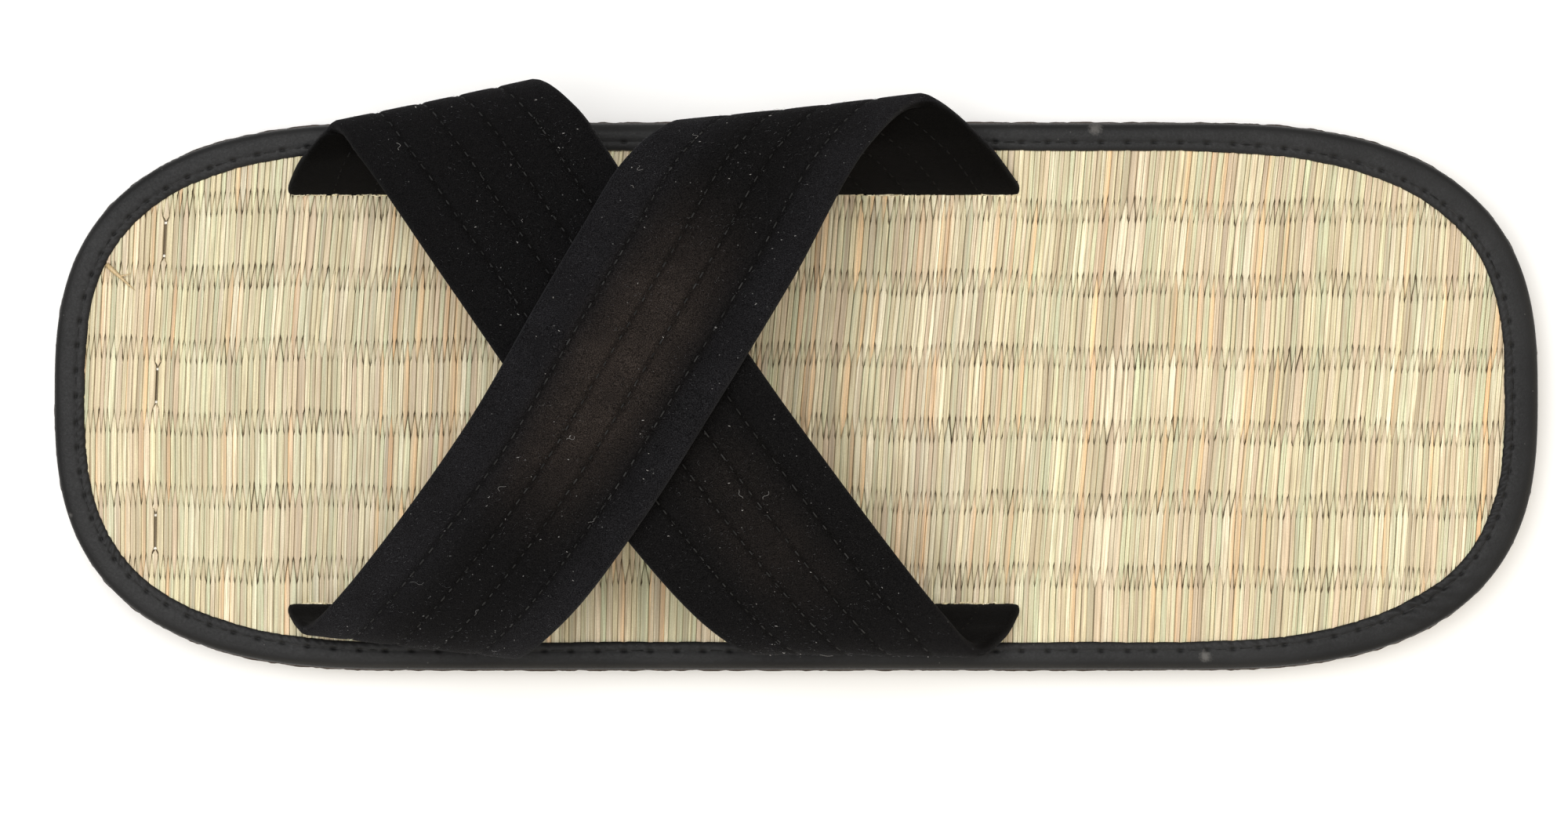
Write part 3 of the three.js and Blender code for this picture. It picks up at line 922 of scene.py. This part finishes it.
dress(mesh_piece("tape_stitches", tape_stitches, stitch_faces, THREAD), "tape")

# %% [markdown]
# The outsole is cut from a slab of dark foam rubber, so its edge is a rough cut with small pits, and
# its underside carries a herringbone tread. It is built as a tray: the middle, under the footbed, is
# left hollow, because the strap ends lie there.


# %% Rubber material
def rubber_material():
    material, tree, shader, place = new_material("rubber", Specular_IOR_Level=0.25)
    grain = grain_at(tree, place, 1700.0)
    colour = blend_colours(tree, grain["Fine"], (0.016, 0.011, 0.009, 1.0), (0.062, 0.045, 0.036, 1.0))
    specks = speck_mask(tree, place, 380.0, 0.1)
    colour = blend_colours(tree, math_node(tree, "MULTIPLY", specks, 0.35), colour, (0.2, 0.16, 0.13, 1.0))
    tree.links.new(colour, shader.inputs["Base Color"])
    tree.links.new(ramp(tree, grain["Patch"], 0.0, 1.0, 0.72, 0.9), shader.inputs["Roughness"])
    add_bump(tree, shader, grain["Fine"], 0.8, 0.3)
    return material


RUBBER = rubber_material()

# %% Cut the outsole
SOLE_STATIONS = 480
SOLE_ACROSS = 64
SOLE_RINGS = (
    # inset, height, roughness of the cut
    (0.7, 0.0, 0.0),
    (0.12, 0.6, 0.5),
    (0.0, 2.4, 1.0),
    (0.0, 4.8, 1.0),
    (0.0, 7.4, 1.0),
    (0.05, 9.5, 0.9),
    (0.4, OUTSOLE_TOP, 0.4),
    (9.0, OUTSOLE_TOP, 0.0),
    (9.3, 7.0, 0.0),
)
TREAD_PITCH = 7.5
TREAD_DEPTH = 0.45
TREAD_SLANT = 0.9
ZIGZAG = 16.0
CUT_ROUGHNESS = 0.28
CUT_FARTHEST = 0.15


def cut_roughness(points):
    """How far the cut pushes each point of the edge in or out."""
    broad = [noise.noise(Vector(p) / 3.0) for p in points]
    fine = [noise.noise(Vector(p) / 0.9) for p in points]
    return CUT_ROUGHNESS * (np.array(broad) + 0.6 * np.array(fine))


def tread_height(x, y, edge_y):
    """Height of the underside: a herringbone of shallow grooves inside a plain rim."""
    slanted = x + TREAD_SLANT * np.abs((y + 6 * ZIGZAG) % ZIGZAG - ZIGZAG / 2)
    cut = smooth_step(0.15, 0.6, np.cos(2 * np.pi * slanted / TREAD_PITCH))
    return TREAD_DEPTH * cut * smooth_step(3.0, 4.2, edge_y - np.abs(y))


sole_rings = []
for ring_inset, ring_height, ring_rough in SOLE_RINGS:
    ring, ring_inward, _ = sole_outline(2 * SOLE_STATIONS, ring_inset)
    ring = np.concatenate([ring, np.full((len(ring), 1), ring_height)], 1)
    ring[:, :2] -= ring_inward * (ring_rough * np.minimum(cut_roughness(ring), CUT_FARTHEST))[:, None]
    sole_rings.append(ring)
rim = sole_rings[0]
left_rim, right_rim = rim[:SOLE_STATIONS], rim[SOLE_STATIONS:][::-1]
share = np.linspace(0, 1, SOLE_ACROSS + 1)[1:-1, None]
under = left_rim[:, None] * (1 - share) + right_rim[:, None] * share
under[..., 2] = tread_height(under[..., 0], under[..., 1], left_rim[:, None, 1])
sole_points = np.concatenate([np.reshape(sole_rings, (-1, 3)), under.reshape(-1, 3)])
first_inner = len(SOLE_RINGS) * 2 * SOLE_STATIONS
inner = first_inner + np.arange(under.shape[0] * under.shape[1]).reshape(under.shape[:2])
station = np.arange(SOLE_STATIONS)[:, None]
under_grid = np.concatenate([station, inner, 2 * SOLE_STATIONS - 1 - station], 1)
corners = [under_grid[:-1, :-1], under_grid[1:, :-1], under_grid[1:, 1:], under_grid[:-1, 1:]]
under_faces = np.stack(corners, -1).reshape(-1, 4)
side_faces = wall_faces(len(SOLE_RINGS), 2 * SOLE_STATIONS)
tray_floor = (len(SOLE_RINGS) - 1) * 2 * SOLE_STATIONS + np.arange(2 * SOLE_STATIONS)
sole_faces = side_faces.tolist() + under_faces.tolist() + [tray_floor.tolist()]
dress(mesh_piece("outsole_cut", sole_points, sole_faces, RUBBER), "rubber", "outsole")

# %% [markdown]
# The two straps are bands of velvet, folded to several layers and quilted flat with four rows of
# stitches. Each comes up through a slit, bows out over the foot's side, crosses the instep and goes
# down on the other side. Their course is the same table of toe and heel edges that the solid was made
# from, with far more points along it.

# %% Course of the straps
TAB_LENGTH = 15.0
TAB_BEND = 2.5
TAB_DEPTH = 5.5
STRAP_STATIONS = 340
UNDER_COURSE = (
    # toe edge x, y and height over the mat, then heel edge, from the right side to the left
    (92.4, -44.3, 8, 54.2, -48.3, 16),
    (86.3, -49.8, 13, 47.4, -57.3, 25),
    (80.7, -44, 19, 40.4, -53, 32.5),
    (65.9, -23.4, 30, 31, -39.5, 37),
    (47, 3.6, 38.6, 15.8, -17.9, 39),
    (31, 26.3, 36, -0.6, 5.5, 34.5),
    (16.7, 42.1, 30, -26.9, 40, 20),
    (9.5, 46.2, 24, -34.4, 47.3, 12),
    (2.3, 44.9, 13, -39.4, 44.3, 6),
)
OVER_COURSE = (
    (5.9, -46, 18, -34.8, -48, 9),
    (22.8, -49, 33, -24.4, -55, 16),
    (31, -43.3, 39.4, -13.6, -46.4, 26),
    (39.5, -29.9, 40.4, 0.9, -20.8, 38.8),
    (47.3, -16.7, 41, 15, 2.4, 41.4),
    (60, 5, 38.3, 26.7, 20.8, 40.2),
    (83.3, 35.4, 18, 40.5, 39.3, 35),
    (91.8, 43.2, 8, 50, 47.2, 24),
    (94, 42.3, 4, 54, 45.4, 12),
)


def anchor_rows(slit):
    """Rows of one strap end: flat under the mat, then bent up through its slit to the mat's top."""
    x, y = SLITS[slit]
    turn = np.radians([0, 30, 60, 90])
    inwards = np.concatenate([[TAB_LENGTH], TAB_BEND * (1 - np.sin(turn)), [0]])
    level = np.concatenate([[0], TAB_BEND * (1 - np.cos(turn)), [TAB_DEPTH]]) - TAB_DEPTH
    toe, heel = x + STRAP_WIDTH / 2, x - STRAP_WIDTH / 2
    side = y - np.sign(y) * inwards
    return [(toe, at, depth, heel, at, depth) for at, depth in zip(side, level)]


def strap_course(first_slit, course, last_slit):
    """Evenly spaced places along a strap: run so far, middle, directions and half width."""
    rows = np.array(anchor_rows(first_slit) + list(course) + anchor_rows(last_slit)[::-1], float)
    dense = np.linspace(0, 1, 6000)
    middle = through((rows[:, :3] + rows[:, 3:]) / 2, dense)
    run = np.concatenate([[0], np.cumsum(np.linalg.norm(np.diff(middle, axis=0), axis=1))])
    even = np.interp(np.linspace(0, run[-1], STRAP_STATIONS), run, dense)
    toe = through(rows[:, :3], even) + [0, 0, MAT_TOP]
    heel = through(rows[:, 3:], even) + [0, 0, MAT_TOP]
    across = unit(toe - heel)
    forward = unit(np.gradient((toe + heel) / 2, axis=0))
    return {
        "run": np.linspace(0, run[-1], STRAP_STATIONS),
        "middle": (toe + heel) / 2,
        "across": across,
        "outward": unit(np.cross(across, forward)),
        "half": np.linalg.norm(toe - heel, axis=1) / 2 - STRAP_THICKNESS / 2,
    }


STRAPS = {
    "strap_under": strap_course("toe right", UNDER_COURSE, "heel left"),
    "strap_over": strap_course("heel right", OVER_COURSE, "toe left"),
}
print("strap lengths", [round(strap["run"][-1], 1) for strap in STRAPS.values()], "mm")

# %% [markdown]
# Velvet is a pile of short upright fibres. It looks nearly black from above, a little lighter where
# it turns away, and it catches every bit of dust. Sheen on a very dark base gives that, with grain for
# the pile and specks for the dust. Light and shade are also painted into its colour: a cool painted
# sheen towards the straps' edges, mostly on the upper strap, painted light down their middles round a
# patch on each, where the pile is also rubbed warm, and painted shade on the inner faces and in the
# quilting grooves.


# %% Velvet material
def velvet_material():
    material, tree, shader, place = new_material(
        "velvet",
        Roughness=0.85,
        Specular_IOR_Level=0.03,
        Sheen_Weight=0.04,
        Sheen_Roughness=0.4,
        Sheen_Tint=(0.6, 0.6, 0.64, 1.0),
    )
    nap_and_painted_light = add_node(tree, "ShaderNodeAttribute", attribute_name="nap_and_painted_light").outputs
    painted_sheen = nap_and_painted_light["Alpha"]
    parts = add_node(tree, "ShaderNodeSeparateColor", {0: nap_and_painted_light["Color"]}).outputs
    inner_face_shade, groove, worn_and_lit = parts["Red"], parts["Green"], parts["Blue"]
    grain = grain_at(tree, place, 5600.0)
    pile = ramp(tree, grain["Fine"], 0.42, 0.64)
    black = blend_colours(tree, pile, (0.0008, 0.0008, 0.0009, 1.0), (0.0085, 0.0082, 0.0084, 1.0))
    cool_sheen = blend_colours(tree, pile, (0.003, 0.003, 0.0036, 1.0), (0.031, 0.031, 0.036, 1.0))
    rubbed_and_lit = blend_colours(tree, pile, (0.007, 0.0055, 0.0045, 1.0), (0.056, 0.044, 0.038, 1.0))
    uneven = ramp(tree, grain["Patch"], 0.0, 1.0, 0.55, 1.0)
    # painted sheen: a cool lighter tone towards the straps' edges
    colour = blend_colours(tree, math_node(tree, "MULTIPLY", painted_sheen, uneven), black, cool_sheen)
    # painted light down the straps' middles round one patch, where the pile is also rubbed warm
    colour = blend_colours(tree, math_node(tree, "MULTIPLY", worn_and_lit, uneven), colour, rubbed_and_lit)
    specks = speck_mask(tree, place, 1500.0, 0.03)
    colour = blend_colours(tree, math_node(tree, "MULTIPLY", specks, 0.3), colour, (0.3, 0.3, 0.3, 1.0))
    # painted shade: the inner faces and the quilting grooves are coloured nearly black
    shadow = math_node(tree, "MAXIMUM", inner_face_shade, math_node(tree, "MULTIPLY", groove, 0.55))
    dark = blend_colours(tree, pile, (0.0004, 0.0004, 0.0003, 1.0), (0.0028, 0.0024, 0.002, 1.0))
    colour = blend_colours(tree, shadow, colour, dark)
    tree.links.new(colour, shader.inputs["Base Color"])
    add_bump(tree, shader, grain["Fine"], 0.9, 0.25)
    return material


VELVET = velvet_material()

# %% Quilt the straps
STITCH_ROWS = (0.58, 0.14, -0.24, -0.64)
QUILT_PITCH = 2.7
QUILT_GROOVE = 0.3
QUILT_GROOVE_WIDTH = 0.55
QUILT_HOLD = 2.2
QUILT_PUFF = 0.1
OUTER_POINTS = 65
INNER_POINTS = 29
EDGE_POINTS = 7
HALF_THICK = STRAP_THICKNESS / 2
LIT_AND_WORN_PATCHES = {
    # x, y, reach and strength of the patch of painted light, where the pile is also rubbed
    "strap_under": (2.0, 20.0, 26.0, 0.25),
    "strap_over": (33.0, -6.0, 42.0, 0.85),
}
# strength of the painted sheen towards the edges of each strap
PAINTED_SHEEN_EDGE = {"strap_under": 0.05, "strap_over": 0.5}


def quilt_relief(share, run, half, seed):
    """How far a strap's face stands off its even surface: grooves at the stitches, puffs between."""
    apart = np.stack([(share - row) * half for row in STITCH_ROWS])
    groove_here = np.exp(-((apart / QUILT_GROOVE_WIDTH) ** 2)).sum(0)
    held = np.exp(-((apart / QUILT_HOLD) ** 2)).max(0)
    pucker = 0.5 + 0.5 * np.cos(2 * np.pi * run / QUILT_PITCH)
    slack = wander(np.ravel(run), 13.0, seed)[:, None] * np.cos(3 * share)
    relief = QUILT_PUFF * (1 - held) - QUILT_GROOVE * groove_here * (0.75 + 0.25 * pucker)
    return relief + 0.06 * (held - groove_here) * pucker + 0.1 * slack, groove_here


def strap_points(strap, seed):
    """Points of a quilted band: outer face from heel to toe edge, toe edge, inner face, heel edge."""
    round_edge = np.linspace(np.pi / 2, -np.pi / 2, EDGE_POINTS + 2)[1:-1]
    outer = np.linspace(-1, 1, OUTER_POINTS)
    inner_face = np.linspace(1, -1, INNER_POINTS)
    share = np.concatenate([outer, np.ones(EDGE_POINTS), inner_face, -np.ones(EDGE_POINTS)])[None]
    square = np.cos(round_edge) ** 0.45
    bulge = np.concatenate([0 * outer, square, 0 * inner_face, -square])[None]
    rounding = np.sin(round_edge)
    lift = np.concatenate([0 * outer + 1, rounding, 0 * inner_face - 1, -rounding])[None]
    half = strap["half"][:, None]
    relief, groove_here = quilt_relief(share, strap["run"][:, None], half, seed)
    relief = relief * np.where(lift > 0, 1, 0.6) * (np.abs(lift) == 1)
    sideways = share * half + bulge * HALF_THICK
    outwards = lift * (HALF_THICK + relief)
    points = strap["middle"][:, None] + strap["across"][:, None] * sideways[..., None]
    points = points + strap["outward"][:, None] * outwards[..., None]
    # masks for painted shade on the inner face, painted light down the middle and painted sheen towards
    # the edges
    inner_face_shade = np.broadcast_to(lift < 0, relief.shape)
    middle = np.broadcast_to(1 - smooth_step(0.2, 0.75, np.abs(share)), relief.shape)
    sheen_margin = np.broadcast_to(smooth_step(0.3, 0.9, np.abs(share + 0.1)), relief.shape)
    return points, np.stack([inner_face_shade, groove_here, middle, sheen_margin], -1)


for number, (name, strap) in enumerate(STRAPS.items()):
    points, nap_and_painted_light = strap_points(strap, 5.0 + number)
    # painted light round a patch on each strap, and painted sheen towards the edges
    from_patch = np.linalg.norm(points[..., :2] - LIT_AND_WORN_PATCHES[name][:2], axis=-1)
    nap_and_painted_light[..., 2] *= LIT_AND_WORN_PATCHES[name][3] * (1 - smooth_step(6, LIT_AND_WORN_PATCHES[name][2], from_patch))
    nap_and_painted_light[..., 3] *= PAINTED_SHEEN_EDGE[name]
    strap_piece = mesh_piece(name, points, tube_faces(1, STRAP_STATIONS, points.shape[1]), VELVET)
    layer = strap_piece.data.attributes.new("nap_and_painted_light", "FLOAT_COLOR", "POINT")
    layer.data.foreach_set("color", np.clip(nap_and_painted_light, 0, 1).astype(np.float32).ravel())
    dress(strap_piece, "velvet", *(["upper_straps"] if number == 0 else []))

# %% [markdown]
# The quilting thread is dull and dark. It shows as short dashes lying deep in the grooves, on both
# faces, and on the inner face it is painted darker as shade. One function finds any place on a strap,
# so stitches, lint and stray pile all use it.


# %% Quilting stitches
def on_strap(strap, run, share, lift):
    """Places on a strap by run along it, share across it and lift off its middle, and outward there."""
    found = {}
    for key in ("middle", "across", "outward"):
        axes = [np.interp(run, strap["run"], strap[key][:, i]) for i in range(3)]
        found[key] = np.stack(axes, -1)
    half = np.interp(run, strap["run"], strap["half"])
    aside = found["across"] * (share * half)[..., None]
    return found["middle"] + aside + found["outward"] * np.asarray(lift)[..., None], found["outward"]


QUILT_DASH = 1.9
QUILT_THREAD = 0.14
QUILT_FACES = (
    # name, side of the strap, groove depth, thread
    ("quilt_stitches", 1, QUILT_GROOVE, THREAD),
    # the inner face's thread is the painted-shade copy
    ("lining_stitches", -1, 0.6 * QUILT_GROOVE, INNER_THREAD_SHADED),
)
for name, face, depth, thread in QUILT_FACES:
    quilt_tubes = []
    for strap in STRAPS.values():
        starts = np.arange(TAB_LENGTH + TAB_DEPTH, strap["run"][-1] - TAB_LENGTH - TAB_DEPTH, QUILT_PITCH)
        starts = starts + rng.normal(0, 0.12, len(starts))
        runs = starts[:, None] + rng.uniform(0.6, 1.0, (len(starts), 1)) * QUILT_DASH * along_stitch
        dip = np.broadcast_to(0.3 * np.abs(2 * along_stitch - 1) ** 4, runs.shape)
        for row in STITCH_ROWS:
            lift = face * (HALF_THICK - depth + 0.12 - dip)
            path, outward = on_strap(strap, runs, np.full(runs.shape, row), lift)
            quilt_tubes.append(round_tubes(path, QUILT_THREAD, face * outward, 5))
    quilt_points = np.concatenate(quilt_tubes)
    quilt_faces = tube_faces(len(quilt_points), DASH_RINGS, 5)
    dress(mesh_piece(name, quilt_points, quilt_faces, thread), "velvet")

# %% [markdown]
# Lint lies on the velvet as short pale curls and specks, and the pile itself stands off the edges as
# fine fuzz. Both are scattered by a fixed seed, so every run gives the same sandal.


# %% Lint and fibre materials
LINT_TONES = ((0.1, 0.1, 0.105, 1.0), (0.38, 0.37, 0.36, 1.0))
FIBRE_TONES = ((0.012, 0.012, 0.013, 1.0), (0.13, 0.13, 0.14, 1.0))
LINT = two_tone_material("lint", 500.0, *LINT_TONES, Roughness=0.9)
FIBRE = two_tone_material("fibre", 9000.0, *FIBRE_TONES, Roughness=0.9, Specular_IOR_Level=0.1)
print("loose fibre materials:", LINT.name, FIBRE.name)

# %% Scatter lint on the straps
LINT_KINDS = (
    # number on each strap, greatest length, radius
    (12, 3.0, 0.02),
    (55, 0.5, 0.05),
)
LINT_RINGS = 14
HALF_BAND = 17.0
rng = np.random.default_rng(31)


def scatter_lint(strap, number, longest):
    """Paths of small curls lying on the outer face of a strap, with their outward directions."""
    run = rng.uniform(TAB_LENGTH + 10, strap["run"][-1] - TAB_LENGTH - 10, number)
    share = rng.uniform(-0.95, 0.95, number)
    length = rng.uniform(0.25, 1.0, number) * longest
    heading = rng.uniform(0, 2 * np.pi, number)
    turn, phase = rng.normal(0, 1.2, number), rng.uniform(0, 6, number)
    step = np.linspace(0, 1, LINT_RINGS)
    angle = heading[:, None] + turn[:, None] * step + 0.9 * np.sin(6 * step + phase[:, None])
    along = run[:, None] + length[:, None] * np.cumsum(np.cos(angle), 1) / LINT_RINGS
    aside = share[:, None] * HALF_BAND + length[:, None] * np.cumsum(np.sin(angle), 1) / LINT_RINGS
    lift = HALF_THICK + 0.18 + 0.15 * rng.uniform(0, 1, number)[:, None] * np.sin(np.pi * step)
    return on_strap(strap, along, np.clip(aside / HALF_BAND, -1, 1), lift)


lint_tubes = []
for strap in STRAPS.values():
    for number, longest, radius in LINT_KINDS:
        path, outward = scatter_lint(strap, number, longest)
        lint_tubes.append(round_tubes(path, radius, outward, 4))
lint_points = np.concatenate(lint_tubes)
dress(mesh_piece("lint", lint_points, tube_faces(len(lint_points), LINT_RINGS, 4), LINT), "velvet")

# %% Stray fibres of the pile
FIBRES_PER_STRAP = 4300
FIBRE_RINGS = 3
FIBRE_RADIUS = 0.015
EDGE_FIBRES = 0.3


def stray_fibres(strap):
    """Short fibres on the outer face and off both edges of a strap."""
    run = rng.uniform(TAB_LENGTH + TAB_DEPTH, strap["run"][-1] - TAB_LENGTH - TAB_DEPTH, FIBRES_PER_STRAP)
    edge = np.sign(rng.uniform(-1, 1, FIBRES_PER_STRAP))
    off_edge = rng.uniform(0, 1, FIBRES_PER_STRAP) < EDGE_FIBRES
    share = np.where(off_edge, edge, rng.uniform(-1, 1, FIBRES_PER_STRAP))
    step = np.linspace(0, 1, FIBRE_RINGS)
    length = rng.uniform(0.15, 0.5, FIBRES_PER_STRAP)[:, None]
    heading = rng.uniform(0, 2 * np.pi, FIBRES_PER_STRAP)[:, None]
    along = run[:, None] + length * np.cos(heading) * step
    aside = share[:, None] + length * np.sin(heading) * step / HALF_BAND
    over_edge = np.maximum(np.abs(aside) - 1, 0) * HALF_BAND
    at_edge = (np.abs(share) == 1)[:, None]
    lift = HALF_THICK + 0.1 + 0.3 * length * step - 0.9 * over_edge - 0.6 * at_edge
    return on_strap(strap, along, aside * (1 + 0.04 * at_edge), lift)


fibre_tubes = []
for strap in STRAPS.values():
    path, outward = stray_fibres(strap)
    fibre_tubes.append(round_tubes(path, FIBRE_RADIUS, outward, 3))
fibre_points = np.concatenate(fibre_tubes)
fibre_faces = tube_faces(len(fibre_points), FIBRE_RINGS, 3)
dress(mesh_piece("pile_fibres", fibre_points, fibre_faces, FIBRE), "velvet")

# %% [markdown]
# The sandal lies on a pale, plain floor. One large soft light hangs above it, a little towards the
# toe and the right side. Two warm cards, low at the left side and the heel, and a weak even light
# from all round open the shadows under the straps.

# %% Floor and light
FLOOR_HALF = 1.6
FLOOR_FINISH = {"Base_Color": (0.86, 0.86, 0.86, 1.0), "Roughness": 0.9, "Specular_IOR_Level": 0.1}
floor_material = new_material("floor", **FLOOR_FINISH)[0]
floor_corners = [(x / MM, y / MM, 0) for x, y in ((-1, -1), (1, -1), (1, 1), (-1, 1))]
floor = mesh_piece("floor", np.array(floor_corners) * FLOOR_HALF, [[0, 1, 2, 3]], floor_material)

LIGHT_SIZE = 1.3
LIGHT_PLACE = (0.26, -0.22, 1.5)
LIGHT_WATTS = 29.0
LIGHT_COLOUR = (1.0, 1.0, 1.0)
CARD_SIZE = 0.7
CARD_WATTS = 4.0
CARD_COLOUR = (1.0, 0.9, 0.72)
CARD_PLACES = {"card_side": (0.05, 0.9, 0.3), "card_heel": (-0.95, 0.1, 0.4)}
SKY = {"Color": (1.0, 0.965, 0.9, 1.0), "Strength": 0.5}


def area_light(name, place, size, watts, colour):
    """A square soft light that faces the sandal; place and size in metres."""
    light_data = bpy.data.lights.new(name, "AREA")
    light_data.shape = "SQUARE"
    light_data.size = size
    light_data.energy = watts
    light_data.color = colour
    light = bpy.data.objects.new(name, light_data)
    light.location = place
    light.rotation_euler = (-Vector(place)).to_track_quat("-Z", "Y").to_euler()
    bpy.context.scene.collection.objects.link(light)


area_light("softbox", LIGHT_PLACE, LIGHT_SIZE, LIGHT_WATTS, LIGHT_COLOUR)
for card_name, card_place in CARD_PLACES.items():
    area_light(card_name, card_place, CARD_SIZE, CARD_WATTS, CARD_COLOUR)

world = bpy.data.worlds.new("studio")
world.use_nodes = True
world.node_tree.nodes.clear()
sky = add_node(world.node_tree, "ShaderNodeBackground", SKY)
add_node(world.node_tree, "ShaderNodeOutputWorld", {"Surface": sky.outputs[0]})
bpy.context.scene.world = world
print("softbox of", LIGHT_SIZE, "m at", LIGHT_PLACE)

# %% [markdown]
# The photo looks straight down from far away, with the toe to the left. The camera's distance and
# focal length give its scale at the height of the footbed, where 295 mm fill the width of the
# picture.

# %% Camera
CAMERA_OVER_MAT = 1200.0
SENSOR_WIDTH = 36.0
PICTURE_WIDTH = 294.8
PICTURE_MIDDLE = (2.3, 3.87)
camera_data = bpy.data.cameras.new("camera")
camera_data.sensor_fit = "HORIZONTAL"
camera_data.sensor_width = SENSOR_WIDTH
camera_data.lens = SENSOR_WIDTH * CAMERA_OVER_MAT / PICTURE_WIDTH
camera = bpy.data.objects.new("camera", camera_data)
camera.location = (PICTURE_MIDDLE[0] * MM, PICTURE_MIDDLE[1] * MM, (MAT_TOP + CAMERA_OVER_MAT) * MM)
camera.rotation_euler = (0, 0, math.pi)
bpy.context.scene.collection.objects.link(camera)
bpy.context.scene.camera = camera
bpy.context.scene.view_settings.view_transform = "Standard"
print("lens", round(camera_data.lens, 1), "mm")
